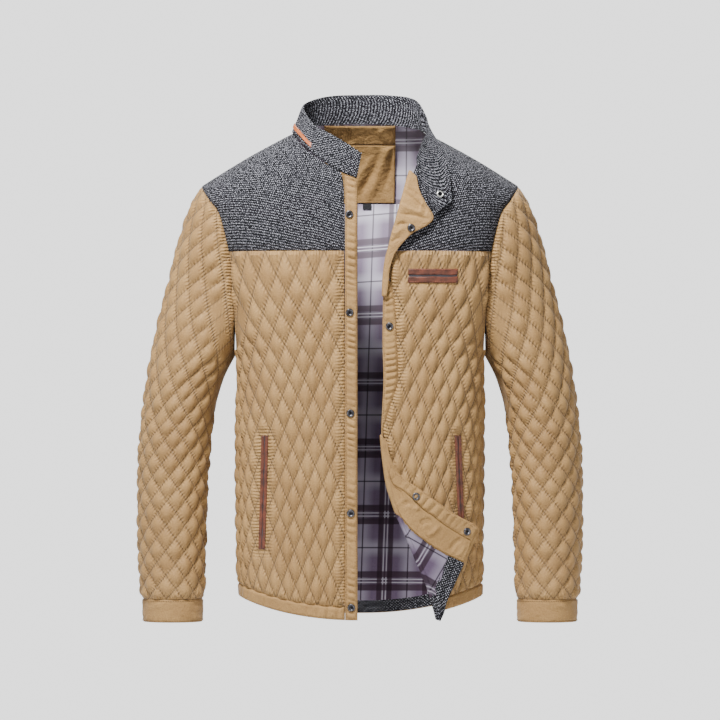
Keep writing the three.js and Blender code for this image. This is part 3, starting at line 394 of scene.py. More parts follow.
def node(tree, kind, inputs=(), **settings):
    made = tree.nodes.new(kind)
    for key, value in settings.items():
        setattr(made, key, value)
    for socket, value in dict(inputs).items():
        if isinstance(value, bpy.types.NodeSocket):
            tree.links.new(value, made.inputs[socket])
        else:
            made.inputs[socket].default_value = value
    return made


def start_material(name, roughness, **settings):
    material = bpy.data.materials.new(name)
    material.use_nodes = True
    tree = material.node_tree
    shader = tree.nodes["Principled BSDF"]
    shader.inputs["Roughness"].default_value = roughness
    for key, value in settings.items():
        shader.inputs[key].default_value = value
    return material, tree, shader


def maths(tree, operation, first, second=0.0, third=0.0):
    return node(tree, "ShaderNodeMath", {0: first, 1: second, 2: third}, operation=operation).outputs[0]


def mixed(tree, factor, first, second):
    inputs = {0: factor, 6: first, 7: second}
    return node(tree, "ShaderNodeMix", inputs, data_type="RGBA").outputs[2]


def cloth_uv(tree, name="cloth"):
    uv = node(tree, "ShaderNodeUVMap", uv_map=name).outputs[0]
    parts = node(tree, "ShaderNodeSeparateXYZ", {0: uv})
    return uv, parts.outputs[0], parts.outputs[1]


def noise(tree, vector, millimetres, detail=2.0, roughness=0.5):
    inputs = {"Vector": vector, "Scale": METRE / millimetres, "Detail": detail, "Roughness": roughness}
    return node(tree, "ShaderNodeTexNoise", inputs).outputs[0]


def ramp(tree, value, low, high):
    return node(tree, "ShaderNodeMapRange", {0: value, 1: low, 2: high}, clamp=True).outputs[0]


def bump(tree, height, strength, millimetres, normal=None):
    inputs = {"Height": height, "Strength": strength, "Distance": millimetres / METRE}
    if normal is not None:
        inputs["Normal"] = normal
    return node(tree, "ShaderNodeBump", inputs).outputs[0]


# %% [markdown]
# ### Shell cloth
# The shell is a plain-woven microfibre polyester: matt, with a faint sheen where it turns away. Its
# threads are about 0.3 mm wide, too fine to show here, so the weave is drawn at 1.2 mm. The quilting is
# sewn through the wadding, and each stitch line draws the cloth into small puckers.
# %% Plain and quilted polyester
TAN = "#957345"
TAN_LIGHT = "#A58250"
TAN_DARK = "#664A29"
THREAD_TAN = "#6A4F2E"
# painted shade for the grooves of the quilting
GROOVE_PAINTED_SHADE = "#6A5338"
QUILT_THREAD = "#4E3B24"
WEAVE_MM = 1.2
PUCKERS_A_CELL = 5.0
SEAM_PUCKER_MM = 4.6
LINE_PUCKER_REACH = (0.26, 0.03)  # from a stitch line, in cells: where puckers end and where they are full


def shell_colour(tree, uv):
    coarse = noise(tree, uv, 55, detail=3)
    fine = noise(tree, uv, 2.0, detail=2)
    tone = mixed(tree, ramp(tree, coarse, 0.35, 0.65), linear(TAN), linear(TAN_LIGHT))
    return mixed(tree, ramp(tree, fine, 0.2, 1.3), tone, linear(TAN_DARK))


def weave_height(tree, u, v, millimetres):
    turns = 2 * np.pi * METRE / millimetres
    warp = maths(tree, "SINE", maths(tree, "MULTIPLY", u, turns))
    weft = maths(tree, "SINE", maths(tree, "MULTIPLY", v, turns))
    return maths(tree, "MULTIPLY", warp, weft)


def plain_polyester(name):
    material, tree, shader = start_material(name, 0.75, **{"Specular IOR Level": 0.3, "Sheen Weight": 0.04})
    uv, u, v = cloth_uv(tree)
    tree.links.new(shell_colour(tree, uv), shader.inputs["Base Color"])
    creases = bump(tree, noise(tree, uv, 13, detail=3, roughness=0.6), 0.9, 3.0)
    weave = bump(tree, weave_height(tree, u, v, WEAVE_MM), 0.25, 0.12, creases)
    tree.links.new(weave, shader.inputs["Normal"])
    return material


def line_distance(tree, value):
    """0 on a stitch line, 0.5 half way to the next."""
    return maths(tree, "ABSOLUTE", maths(tree, "SUBTRACT", value, maths(tree, "ROUND", value)))


def quilted_polyester():
    material, tree, shader = start_material(
        "quilted_polyester", 0.7, **{"Specular IOR Level": 0.35, "Sheen Weight": 0.04}
    )
    uv, u, v = cloth_uv(tree)
    lattice, p, q = cloth_uv(tree, "lattice")
    to_p, to_q = line_distance(tree, p), line_distance(tree, q)
    nearest = maths(tree, "MINIMUM", to_p, to_q)
    # Painted shade: the cloth is darkened beside every stitch line, in the groove between the puffs.
    seam = ramp(tree, nearest, 0.085, 0.0)
    thread = ramp(tree, nearest, 0.022, 0.012)
    base = mixed(tree, maths(tree, "MULTIPLY", seam, 0.6), shell_colour(tree, uv), linear(GROOVE_PAINTED_SHADE))
    colour = mixed(tree, maths(tree, "MULTIPLY", thread, 0.6), base, linear(QUILT_THREAD))
    tree.links.new(colour, shader.inputs["Base Color"])
    wander = noise(tree, lattice, 900, detail=2)
    near_lines = 0.0
    for along_line, to_line, bend in ((q, to_p, 9.0), (p, to_q, 7.0)):
        bent = maths(tree, "MULTIPLY", wander, bend)
        turns = maths(tree, "MULTIPLY_ADD", along_line, 2 * np.pi * PUCKERS_A_CELL, bent)
        waves = maths(tree, "MULTIPLY", maths(tree, "SINE", turns), ramp(tree, to_line, *LINE_PUCKER_REACH))
        near_lines = maths(tree, "ADD", near_lines, waves)
    beside, away, along = cloth_uv(tree, "beside")
    drawn = maths(tree, "MULTIPLY", along, 2 * np.pi * METRE / SEAM_PUCKER_MM)
    drawn = maths(tree, "SINE", maths(tree, "ADD", drawn, maths(tree, "MULTIPLY", wander, 8.0)))
    drawn = maths(tree, "MULTIPLY", drawn, ramp(tree, away, 0.016, 0.003))
    puckers = bump(tree, maths(tree, "MULTIPLY_ADD", drawn, 1.2, near_lines), 0.8, 0.6)
    crumple = bump(tree, noise(tree, uv, 9, detail=3, roughness=0.6), 0.35, 1.0, puckers)
    weave = bump(tree, weave_height(tree, u, v, WEAVE_MM), 0.2, 0.1, crumple)
    tree.links.new(weave, shader.inputs["Normal"])
    return material


QUILTED = quilted_polyester()
PLAIN = plain_polyester("plain_polyester")
print("made", QUILTED.name, "and", PLAIN.name)


# %% [markdown]
# ### Tweed
# The yokes and the collar are a coarse wool tweed: pale grey flecks on black, each about 2 mm, standing
# like a chequered net that the hand of the yarn makes uneven.
# %% Wool tweed
WARP_MM = 4.6
WEFT_MM = 4.0


def wool_tweed():
    material, tree, shader = start_material("wool_tweed", 0.95, **{"Specular IOR Level": 0.15})
    uv, u, v = cloth_uv(tree)
    wander = noise(tree, uv, 5, detail=2)
    turn = 2 * np.pi * METRE
    across = maths(tree, "MULTIPLY_ADD", u, turn / WARP_MM, maths(tree, "MULTIPLY", wander, 1.6))
    along = maths(tree, "MULTIPLY_ADD", v, turn / WEFT_MM, maths(tree, "MULTIPLY", wander, 1.4))
    net = maths(tree, "MULTIPLY", maths(tree, "SINE", across), maths(tree, "SINE", along))
    fleck = noise(tree, uv, 1.7, detail=2, roughness=0.7)
    yarn = maths(tree, "MULTIPLY_ADD", net, 0.16, fleck)
    tone = ramp(tree, noise(tree, uv, 30, detail=2), 0.3, 0.7)
    dark = mixed(tree, tone, linear("#0B0B0D"), linear("#121215"))
    grey = mixed(tree, ramp(tree, yarn, 0.52, 0.60), dark, linear("#2E2E34"))
    pale = mixed(tree, ramp(tree, yarn, 0.60, 0.67), grey, linear("#9C9CA4"))
    tree.links.new(pale, shader.inputs["Base Color"])
    tree.links.new(bump(tree, yarn, 0.8, 0.9), shader.inputs["Normal"])
    return material


# %% [markdown]
# ### Plaid lining
# The lining is brushed cotton woven in a tartan. Each direction repeats a dark wine band with a fine
# white double line in its middle, then lilac that grows paler towards a single thin dark line. A woven
# check darkens where two bands cross, so the two directions are mixed, and a white line shows fully only
# where the other direction isn't dark. The crosswise repeat is 67 mm and the lengthwise one 96 mm.
# %% Brushed cotton plaid
PLAID_PAINTED_LIGHT = (-0.34, -0.04)  # painted light and shade: paler towards the neck, where the light falls in, darker lower down
PLAID_ACROSS = {"repeat": 67.0, "shift": 33.5, "inner": 4.3, "outer": 11.0}
PLAID_DOWN = {"repeat": 96.2, "shift": 0.0, "inner": 5.2, "outer": 14.0}
PLAID_LEAN = 0.0338
DOUBLE_LINE_MM = 2.3


def plaid_stripes(tree, along, repeat, shift, inner, outer):
    """Shares of the dark band, its middle, the white lines, the thin line and the pale ground."""
    turns = maths(tree, "MULTIPLY_ADD", along, METRE / repeat, -shift / repeat)
    away = maths(tree, "ABSOLUTE", maths(tree, "SUBTRACT", turns, maths(tree, "ROUND", turns)))
    away = maths(tree, "MULTIPLY", away, repeat)
    to_line = maths(tree, "SUBTRACT", repeat / 2, away)
    past_middle = ramp(tree, away, inner - 0.5, inner + 0.5)
    band = maths(tree, "MULTIPLY", past_middle, ramp(tree, away, outer + 0.7, outer - 0.7))
    middle = maths(tree, "SUBTRACT", 1.0, past_middle)
    from_double = maths(tree, "ABSOLUTE", maths(tree, "SUBTRACT", away, DOUBLE_LINE_MM))
    white = ramp(tree, from_double, 1.15, 0.55)
    thin = ramp(tree, to_line, 1.2, 0.7)
    pale = ramp(tree, to_line, 15.0, 4.0)
    return band, middle, white, thin, pale


def brushed_plaid(name, depth):
    material, tree, shader = start_material(name, 0.9, **{"Specular IOR Level": 0.2})
    uv, u, v = cloth_uv(tree, "plaid")
    across = plaid_stripes(tree, u, **PLAID_ACROSS)
    down = plaid_stripes(tree, v, **PLAID_DOWN)
    fuzz = ramp(tree, noise(tree, uv, 2.5, detail=3), 0.35, 0.7)
    ground = mixed(tree, maths(tree, "MULTIPLY", fuzz, 0.35), linear("#8E7C96"), linear("#75647E"))
    colour = mixed(tree, maths(tree, "MULTIPLY", across[4], 0.55), ground, linear("#D9D4E4"))
    colour = mixed(tree, maths(tree, "MULTIPLY", down[4], 0.62), colour, linear("#DEDAE8"))
    wine, dark = linear("#46303F"), linear("#2C1E2A")
    for own, other, deep in ((across, down, wine), (down, across, wine)):
        colour = mixed(tree, maths(tree, "MULTIPLY", own[1], 0.55), colour, deep)
        colour = mixed(tree, maths(tree, "MULTIPLY", own[0], 0.86), colour, deep)
        crossing = maths(tree, "MULTIPLY", own[0], other[0])
        colour = mixed(tree, maths(tree, "MULTIPLY", crossing, 0.5), colour, dark)
    for own, other in ((across, down), (down, across)):
        colour = mixed(tree, maths(tree, "MULTIPLY", own[3], 0.82), colour, dark)
        clear = maths(tree, "MULTIPLY_ADD", other[0], -0.75, 0.85)
        colour = mixed(tree, maths(tree, "MULTIPLY", own[2], clear), colour, linear("#E9E6F0"))
    # Painted light and shade: the check is painted paler towards the neck, where light falls in through the
    # open front, and darker lower down, where the inside of the back lies in shade.
    shade = ramp(tree, v, *PLAID_PAINTED_LIGHT)
    wear_and_painted_light = mixed(tree, maths(tree, "MULTIPLY", shade, 0.14), colour, linear("#EFEAF2"))
    inputs = {0: depth, 6: wear_and_painted_light, 7: linear("#59495A")}
    deep = node(tree, "ShaderNodeMix", inputs, data_type="RGBA", blend_type="MULTIPLY")
    tree.links.new(mixed(tree, shade, deep.outputs[2], wear_and_painted_light), shader.inputs["Base Color"])
    tree.links.new(bump(tree, noise(tree, uv, 1.6, detail=3), 0.4, 0.3), shader.inputs["Normal"])
    return material


# %% [markdown]
# ### Leather, snaps and threads
# The welts and the collar tab are smooth cow leather with a fine pebbled grain of about 1.5 mm. The
# snaps are brass plated to gunmetal: a metal keeps the shader's own IOR. Threads are matt polyester.
# %% Leather, metal, label and thread
def clouded(tree, place, millimetres, detail, dark, light):
    """Two tones in soft clouds of a given size, as in all cloth that was dyed by the piece."""
    return mixed(tree, ramp(tree, noise(tree, place, millimetres, detail), 0.3, 0.7), dark, light)


THREAD_SHADE = 0.72  # of its own colour, in the turns of the twist
GRAIN_MM = 1.6


def cow_leather(name, light, dark):
    material, tree, shader = start_material(name, 0.5, **{"Specular IOR Level": 0.45})
    uv, u, v = cloth_uv(tree)
    grain = node(tree, "ShaderNodeTexVoronoi", {"Vector": uv, "Scale": METRE / GRAIN_MM}).outputs[0]
    wear_and_painted_light = ramp(tree, noise(tree, uv, 12, detail=3), 0.35, 0.7)
    tone = mixed(tree, wear_and_painted_light, linear(dark), linear(light))
    tree.links.new(tone, shader.inputs["Base Color"])
    tree.links.new(bump(tree, grain, 0.35, 0.3), shader.inputs["Normal"])
    return material


def plated_metal(name, dark, light):
    material, tree, shader = start_material(name, 0.32, Metallic=1.0)
    place = node(tree, "ShaderNodeTexCoord").outputs["Object"]
    wear_and_painted_light = ramp(tree, noise(tree, place, 3, detail=2), 0.35, 0.7)
    tree.links.new(mixed(tree, wear_and_painted_light, linear(dark), linear(light)), shader.inputs["Base Color"])
    tree.links.new(maths(tree, "MULTIPLY_ADD", wear_and_painted_light, 0.14, 0.26), shader.inputs["Roughness"])
    return material


def spun_thread(name, code):
    material, tree, shader = start_material(name, 0.8)
    place = node(tree, "ShaderNodeTexCoord").outputs["Object"]
    dark = (*[THREAD_SHADE * channel for channel in linear(code)[:3]], 1.0)
    tree.links.new(clouded(tree, place, 1.2, 1, dark, linear(code)), shader.inputs["Base Color"])
    return material


RIB_MM = 0.9


def woven_label():
    material, tree, shader = start_material("woven_satin_label", 0.55)
    uv, u, v = cloth_uv(tree)
    ribs = maths(tree, "SINE", maths(tree, "MULTIPLY", v, 2 * np.pi * METRE / RIB_MM))
    tone = clouded(tree, uv, 2, 2, linear("#141417"), linear("#232327"))
    tree.links.new(tone, shader.inputs["Base Color"])
    tree.links.new(bump(tree, ribs, 0.3, 0.1), shader.inputs["Normal"])
    return material


def lining_satin():
    material, tree, shader = start_material("sleeve_lining_satin", 0.45)
    uv, u, v = cloth_uv(tree)
    tone = clouded(tree, uv, 18, 3, linear("#2B2A30"), linear("#3B3A42"))
    tree.links.new(tone, shader.inputs["Base Color"])
    tree.links.new(bump(tree, noise(tree, uv, 20, detail=2), 0.4, 1.0), shader.inputs["Normal"])
    return material


TWEED = wool_tweed()
# Painted shade: the lining is darkened lower down by the given share.
PLAID = brushed_plaid("brushed_cotton_plaid", 0.62)
# A darker copy of the plaid for the turned corner: painted shade.
PLAID_SHADED_TURNED = brushed_plaid("brushed_cotton_plaid_painted_shade", 0.75)
WELT_LEATHER = cow_leather("cow_leather_brown", "#693420", "#3A1B0E")
TAB_LEATHER = cow_leather("cow_leather_orange", "#B56436", "#955029")
METAL = plated_metal("gunmetal_plated_brass", "#3E3D40", "#6E6C70")
# The middle of each snap is near-black metal: painted shade for its hollow.
SNAP_HOLLOW_SHADE = plated_metal("snap_hollow_painted_shade", "#141416", "#232326")
NICKEL = plated_metal("nickel_plated_brass", "#B9B8B6", "#DDDCD9")
LEATHER_THREAD = spun_thread("polyester_thread_brown", "#7A4028")
SHELL_THREAD = spun_thread("polyester_thread_tan", THREAD_TAN)
LINING_THREAD = spun_thread("polyester_thread_dark", "#3A3436")
LABEL = woven_label()
LINING_SATIN = lining_satin()
print("materials:", len(bpy.data.materials))


# %% [markdown]
# ## Cloth walls
# A piece of cloth has two faces and an edge. Both faces are made on one grid of points: the outer one is
# raised by the thickness and by any relief, the inner one stays on the surface, and the rim joins them.
# A folded edge isn't sharp, so the thickness swells up over the first millimetres from the border.
# %% From grids of points to a cloth mesh
def grid_lengths(points):
    across = np.linalg.norm(np.diff(points, axis=1), axis=-1)
    down = np.linalg.norm(np.diff(points, axis=0), axis=-1)
    u = np.concatenate([np.zeros((len(points), 1)), np.cumsum(across, axis=1)], axis=1)
    v = np.concatenate([np.zeros((1, points.shape[1])), np.cumsum(down, axis=0)], axis=0)
    return u, v


def from_border(u, v):
    sides = [u - u[:, :1], u[:, -1:] - u, v - v[:1], v[-1:] - v]
    return np.minimum.reduce(sides)


def grid_quads(rows, columns):
    i, j = np.meshgrid(np.arange(columns - 1), np.arange(rows - 1))
    first = (j * columns + i).ravel()
    return np.stack([first, first + 1, first + columns + 1, first + columns], 1)


def border_of(rows, columns):
    index = np.arange(rows * columns).reshape(rows, columns)
    return np.concatenate([index[0, :-1], index[:-1, -1], index[-1, :0:-1], index[:0:-1, 0]])


def mesh_object(name, points, faces, face_materials, materials, uvs, sharp=40.0):
    mesh = bpy.data.meshes.new(name)
    mesh.from_pydata((points / METRE).tolist(), [], faces.tolist())
    for key, values in uvs.items():
        layer = mesh.uv_layers.new(name=key)
        layer.data.foreach_set("uv", values[faces.ravel()].astype(np.float32).ravel())
    for material in materials:
        mesh.materials.append(material)
    mesh.polygons.foreach_set("material_index", face_materials.astype(np.int32))
    work = bmesh.new()
    work.from_mesh(mesh)
    bmesh.ops.remove_doubles(work, verts=work.verts, dist=8e-6)
    bmesh.ops.dissolve_degenerate(work, edges=work.edges, dist=1e-6)
    if work.calc_volume(signed=True) < 0:
        bmesh.ops.reverse_faces(work, faces=work.faces)
    for face in work.faces:
        face.smooth = True
    work.to_mesh(mesh)
    work.free()
    mesh.set_sharp_from_angle(angle=np.radians(sharp))
    piece = bpy.data.objects.new(name, mesh)
    bpy.context.scene.collection.objects.link(piece)
    return piece


RIM_SHARE = 0.35  # of its thickness, which cloth keeps at a folded edge


def cloth_wall(
    name,
    points,
    normals,
    thickness,
    materials,
    relief=0.0,
    lift=0.0,
    edge=1.2,
    uvs=None,
    body=True,
    outer_index=0,
):
    rows, columns = points.shape[:2]
    u, v = grid_lengths(points)
    near = np.clip(from_border(u, v) / edge, 0, 1)
    swell = RIM_SHARE + (1 - RIM_SHARE) * np.sqrt(1 - (1 - near) ** 2)
    outer = points + normals * (lift + thickness * swell + relief)[..., None]
    inner = points + normals * np.broadcast_to(lift, points.shape[:2])[..., None]
    if body:
        outer, inner = drape(outer), drape(inner)
    count = rows * columns
    quads = grid_quads(rows, columns)
    ring = border_of(rows, columns)
    after = np.roll(ring, -1)
    rim = np.stack([after, ring, ring + count, after + count], 1)
    faces = np.concatenate([quads, quads[:, ::-1] + count, rim])
    shown = np.broadcast_to(outer_index, (rows - 1, columns - 1)).ravel()
    which = np.concatenate([shown, np.full(len(quads), len(materials) - 1), np.zeros(len(rim))])
    layers = {"cloth": np.stack([u, v], -1) / METRE, **(uvs or {})}
    doubled = {key: np.tile(values.reshape(-1, 2), (2, 1)) for key, values in layers.items()}
    all_points = np.concatenate([outer.reshape(-1, 3), inner.reshape(-1, 3)])
    return mesh_object(name, all_points, faces, which, materials, doubled)


def dress(piece, node_name):
    """Hangs a piece on the root in place of its CAD node, which it hides, and prints its faces and its area
    in square metres.
    """
    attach(piece, "root")
    if node_name:
        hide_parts(node_name)
    faces = len(piece.data.polygons)
    half = sum(p.area for p in piece.data.polygons) / 2
    print(piece.name, faces, "faces, about", round(half, 4), "square metres of cloth")
    return piece


# %% [markdown]
# ## Quilting
# The diamonds lie on a lattice of half pitches. Where row plus column is even, stitch lines cross; where
# it is odd, a puff stands highest. Turned by 45 degrees, the lattice gives two numbers p and q that are
# whole on the stitch lines, so a puff is simply high where both are far from whole. Wadding held down
# along its edges swells fast and then rounds off, which the power below gives.
# %% Puffs
FINE = 6  # samples in each half pitch
PUFF_MM = 5.6
PUFF_POWER = 2.2
BORDER_FLAT_MM = 7.0


def lattice_of(i, j):
    return (i + j) / 2, (i - j) / 2


def puff_height(p, q):
    def across(value):
        away = 2 * np.abs(value - np.round(value))
        return 1 - (1 - away) ** PUFF_POWER

    return PUFF_MM * across(p) * across(q)


def uneven(p, q):
    """No two puffs hold quite the same wadding."""
    cell_p, cell_q = np.floor(p), np.floor(q)
    return 0.86 + 0.14 * np.sin(cell_p * 2.3 + cell_q * 5.1) * np.cos(cell_p * 1.1 - cell_q * 3.7)


def centre_row_z(row):
    top = YOKE_Z - FIRST_ROW
    below = top + (HEM_Z + HEM_BAND - top) * (row - 1) / (FRONT_ROWS - 1)
    return np.where(row < 1, YOKE_Z - FIRST_ROW * row, below)


def side_row_z(row):
    return YOKE_Z + (UNDERARM_Z - YOKE_Z) * (1 - (1 - np.minimum(1, row / SIDE_ROWS)) ** 1.3)


def limit_along(side, row):
    beside = armhole_along(side, side_row_z(row))
    return np.where(row <= SIDE_ROWS, beside, quarter_length(side, np.array(UNDERARM_Z)))


def quilt_z(side, row, along):
    share = np.minimum(1, np.abs(along) / limit_along(side, row)) ** 3
    upper = centre_row_z(row) + (side_row_z(row) - centre_row_z(row)) * share
    from_z = centre_row_z(SIDE_ROWS) + (UNDERARM_Z - centre_row_z(SIDE_ROWS)) * share
    x = on_body(side, along, HEM_Z + HEM_SIDE_RISE)[..., 0]
    part = (row - SIDE_ROWS) / (FRONT_ROWS - SIDE_ROWS)
    lower = from_z + (hem_z(x) + HEM_BAND + SEAM - from_z) * part
    return np.where(row <= SIDE_ROWS, upper, lower)


# %% [markdown]
# Cloth also gathers beside every seam and pocket mouth. For that the UV map "beside" keeps how far the
# nearest seam is and how far along it a point lies, both in metres.
#
# A panel's fine grid starts from the lattice and is clamped to the panel's real edges: the placket or
# the fold in front, the armhole and the side seam behind. Near every seam, and where the sleeve presses
# on the body under the arm, the puffs lie flat.
# %% Panels
def beside_uv(u, v, extra=None):
    near = [(u - u[:, :1], v), (u[:, -1:] - u, v), (v - v[:1], u), (v[-1:] - v, u)]
    if extra is not None:
        near.append(extra)
    distances = np.stack([pair[0] for pair in near])
    alongs = np.stack([np.broadcast_to(pair[1], u.shape) for pair in near])
    closest = distances.argmin(axis=0)[None]
    picked = [np.take_along_axis(values, closest, 0)[0] for values in (distances, alongs)]
    return np.stack(picked, -1) / METRE


def panel(name, side, low, starts, pitches, columns, flatness, materials, hand=1, centred=False, pocket=None):
    i = np.arange(columns * FINE + 1) / FINE
    j = np.arange(FRONT_ROWS * FINE + 1) / FINE
    i, j = np.meshgrid(i, j)
    along = starts + i * pitches(j) / 2
    sign = np.where(along < 0, -1, 1) if centred else hand
    out = np.abs(along)
    limit = limit_along(side, j)
    lowest = low(quilt_z(side, j, np.minimum(out, limit)))
    high = limit - SEAM / 2
    clamped = np.clip(out, lowest, high)
    z = quilt_z(side, j, np.where(clamped == high, limit, clamped))
    at = arc_at(side)
    points = at(clamped, z)
    normals = normal_at(at, clamped, z, -side)
    to_side = high - clamped
    seam_normals = armhole_normal(side, np.minimum(z, YOKE_Z))
    by_armhole = smooth_step(SEAM_BLEND, 0, to_side) * smooth_step(SIDE_ROWS + 1.2, SIDE_ROWS, j)
    normals = blended(normals, seam_normals, by_armhole)
    points[..., 0] *= sign
    normals[..., 0] *= sign
    p, q = lattice_of(i, j)
    u, v = grid_lengths(points)
    border = smooth_step(0, BORDER_FLAT_MM, from_border(u, v))
    underarm = 1 - smooth_step(*UNDERARM_PRESSED, to_side) * smooth_step(3.4, 2.2, np.abs(j - SIDE_ROWS))
    relief = puff_height(p, q) * uneven(p, q) * border * underarm * flatness(clamped, z)
    mouth = None
    if pocket is not None:
        beyond = np.maximum(0, np.maximum(z - pocket["top"][1], pocket["bottom"][1] - z))
        aside = np.maximum(0, np.abs(clamped - pocket_along(pocket, z)) - WELT_WIDTH)
        mouth = (np.hypot(aside, beyond), -z)
    uvs = {
        "lattice": np.stack([p, q], -1),
        "plaid": np.stack([points[..., 0], z], -1) / METRE,
        "beside": beside_uv(u, v, mouth),
    }
    return cloth_wall(name, points, normals, SHELL, materials, relief=relief, uvs=uvs)


HAND_POCKETS = {
    "front_right": {"top": (133.5, -421.5), "bottom": (137.5, -582.5)},
    "front_left": {"top": (137.0, -421.5), "bottom": (144.0, -582.5)},
}
WELT_WIDTH = 5.0
WELT_SLIT = 1.0
CHEST_POCKET = {"from_x": 67.7, "to_x": 137.2, "top_z": -186.3, "bottom_z": -206.2, "slit": 2.4}


def pocket_along(pocket, z):
    (top_x, top_z), (bottom_x, bottom_z) = pocket["top"], pocket["bottom"]
    part = (z - top_z) / (bottom_z - top_z)
    return along_at_x(-1, top_x + (bottom_x - top_x) * part, z)


def beside_hand_pocket(pocket):
    def flatness(along, z):
        aside = np.abs(along - pocket_along(pocket, z))
        beyond = np.maximum(z - pocket["top"][1], pocket["bottom"][1] - z)
        return np.maximum(smooth_step(5, 17, aside), smooth_step(2, 14, beyond))

    return flatness


def beside_chest_pocket(along, z):
    aside = np.maximum(CHEST_POCKET["from_x"] - along, along - CHEST_POCKET["to_x"] - 4)
    beyond = np.maximum(z - CHEST_POCKET["top_z"], CHEST_POCKET["bottom_z"] - z)
    return np.maximum(smooth_step(0, 10, aside), smooth_step(0, 10, beyond))


LAPEL_ROLL = table(
    "z x", [(-202, 37.4), (-174, 37.4), (-157, 41), (-123, 50), (-82, 61.3), (-41.5, 72.6)]
)
PLACKET_LEFT = table(
    "z edge seam",
    [
        (CORNER_TOP_Z, 30, 32.5),
        (-378, 31.5, 43.5),
        (-343, 33, 54),
        (-287, 31.7, 52.5),
        (-230, 32.4, 49.5),
        (-214, 33.2, 46.5),
        (LAPEL_END_Z, 34.4, 43),
    ],
)
CORNER_ROLL = table(
    "z x",
    [
        (-686, 111),
        (-639, 99.4),
        (-601, 81),
        (-561, 64.9),
        (-534, 52.3),
        (-521, 48.6),
        (-498, 39.6),
        (-447, 32.4),
        (-414, 28.9),
    ],
)


def left_front_edge(z):
    lapel = read(LAPEL_ROLL, "x", z) + EDGE_BACK
    placket = read(PLACKET_LEFT, "seam", z) - PLACKET_LAP
    corner = read(CORNER_ROLL, "x", z) + EDGE_BACK
    return np.where(z > LAPEL_END_Z, lapel, np.where(z > CORNER_TOP_Z, placket, corner))


front_pitch = lambda row: read(PITCH, "pitch", centre_row_z(row))
front_right = panel(
    "front_right_quilted",
    -1,
    lambda z: np.full_like(z, PLACKET_SEAM_X + SEAM / 2),
    PLACKET_SEAM_X,
    front_pitch,
    PANEL_COLUMNS,
    beside_hand_pocket(HAND_POCKETS["front_right"]),
    [QUILTED, PLAID],
    hand=-1,
    pocket=HAND_POCKETS["front_right"],
)
left_pocket = beside_hand_pocket(HAND_POCKETS["front_left"])
front_left = panel(
    "front_left_quilted",
    -1,
    lambda z: along_at_x(-1, left_front_edge(z), z),
    PLACKET_SEAM_X,
    front_pitch,
    PANEL_COLUMNS,
    lambda a, z: left_pocket(a, z) * beside_chest_pocket(a, z),
    [QUILTED, PLAID],
    pocket=HAND_POCKETS["front_left"],
)
back_panel = panel(
    "back_quilted",
    1,
    np.zeros_like,
    -BACK_COLUMNS / 2 * BACK_PITCH / 2,
    lambda row: BACK_PITCH,
    BACK_COLUMNS,
    lambda along, z: np.ones_like(z),
    [QUILTED],
    centred=True,
)
dress(front_right, "front_right")
dress(front_left, "front_left")
dress(back_panel, "back_panel")


# %% [markdown]
# ## Yokes
# A yoke is cut in one with the shoulder: its lower edge is sewn over the quilted panel, its outer edge
# into the armhole and its inner edge to the collar. The tweed is firm, so it only dips a little where
# the shoulder turns down to the arm.
# %% Tweed yokes
YOKE_STITCH_UP = (2.6, 8.4)
YOKE_GROOVE = 0.55
SHOULDER_TURN = 85  # out of 100 round the yoke, where the front seam ends at the neck
YOKE_LEVELS = np.concatenate([np.linspace(100, 8, 58), np.linspace(8, 0, 22)[1:]])
NECK_SEAM_RIGHT = table("x z", [(-95, 7), (-85, -8), (-69, -23), (-50, -37), (-27, -50.5), (-3.5, -60.5)])
NECK_BACK = table("x z", [(0, 27), (45, 25), (80, 17), (95, 7)])


def edge_table(points):
    rows = sorted((float(yoke_b(np.array(float(x)), np.array(float(z)))), x) for x, z in points)
    return table("b x", rows)


YOKE_RIGHT_EDGE = edge_table(
    [(-21, YOKE_Z), (-22, -100), (-27, -50.5), (-50, -37), (-69, -23), (-85, -8), (-95, 7)]
)
YOKE_LEFT_EDGE = edge_table(
    [(41.5, YOKE_Z), (50, -123), (61.3, -82), (76, -38), (83, -22), (90, -6), (NECK_X, NECK_Z)]
)


def yoke_wall(name, side, x, b):
    b = b - 0.1 * (b >= 100) + 0.05 * (b <= 0)  # clear of the shoulder line and of the lower seam
    points = on_yoke(side, x, b)
    normals = normal_at(lambda a, c: on_yoke(side, a, c), x, b, -side)
    edge = yoke_edge_x(b) - SEAM / 2
    seam = armhole_normal(side, on_yoke(side, edge, b)[..., 2])
    seam[..., 0] *= np.sign(x)
    normals = blended(normals, seam, smooth_step(SEAM_BLEND, 0, edge - np.abs(x)))
    sag = 0.5 * np.sin(x / 17 + b / 9) * smooth_step(0, 25, edge - np.abs(x)) * smooth_step(0, 14, b)
    sag *= smooth_step(100, 88, b)
    above_seam = points[..., 2] - YOKE_Z
    for up in YOKE_STITCH_UP:
        sag -= YOKE_GROOVE * np.exp(-(((above_seam - up) / 1.3) ** 2))
    uvs = {"plaid": np.stack([x, points[..., 2]], -1) / METRE}
    return cloth_wall(name, points, normals, YOKE_CLOTH, [TWEED, PLAID], relief=sag, uvs=uvs, edge=1.0)


def front_yoke(name, hand, edge_rows, back):
    share, b = np.meshgrid(np.linspace(0, 1, 71), YOKE_LEVELS)
    outer = hand * (yoke_edge_x(b) - SEAM / 2)
    inner = read(edge_rows, "x", b) + np.where(b < SHOULDER_TURN, back, 0)
    return yoke_wall(name, -1, outer + (inner - outer) * share, b)


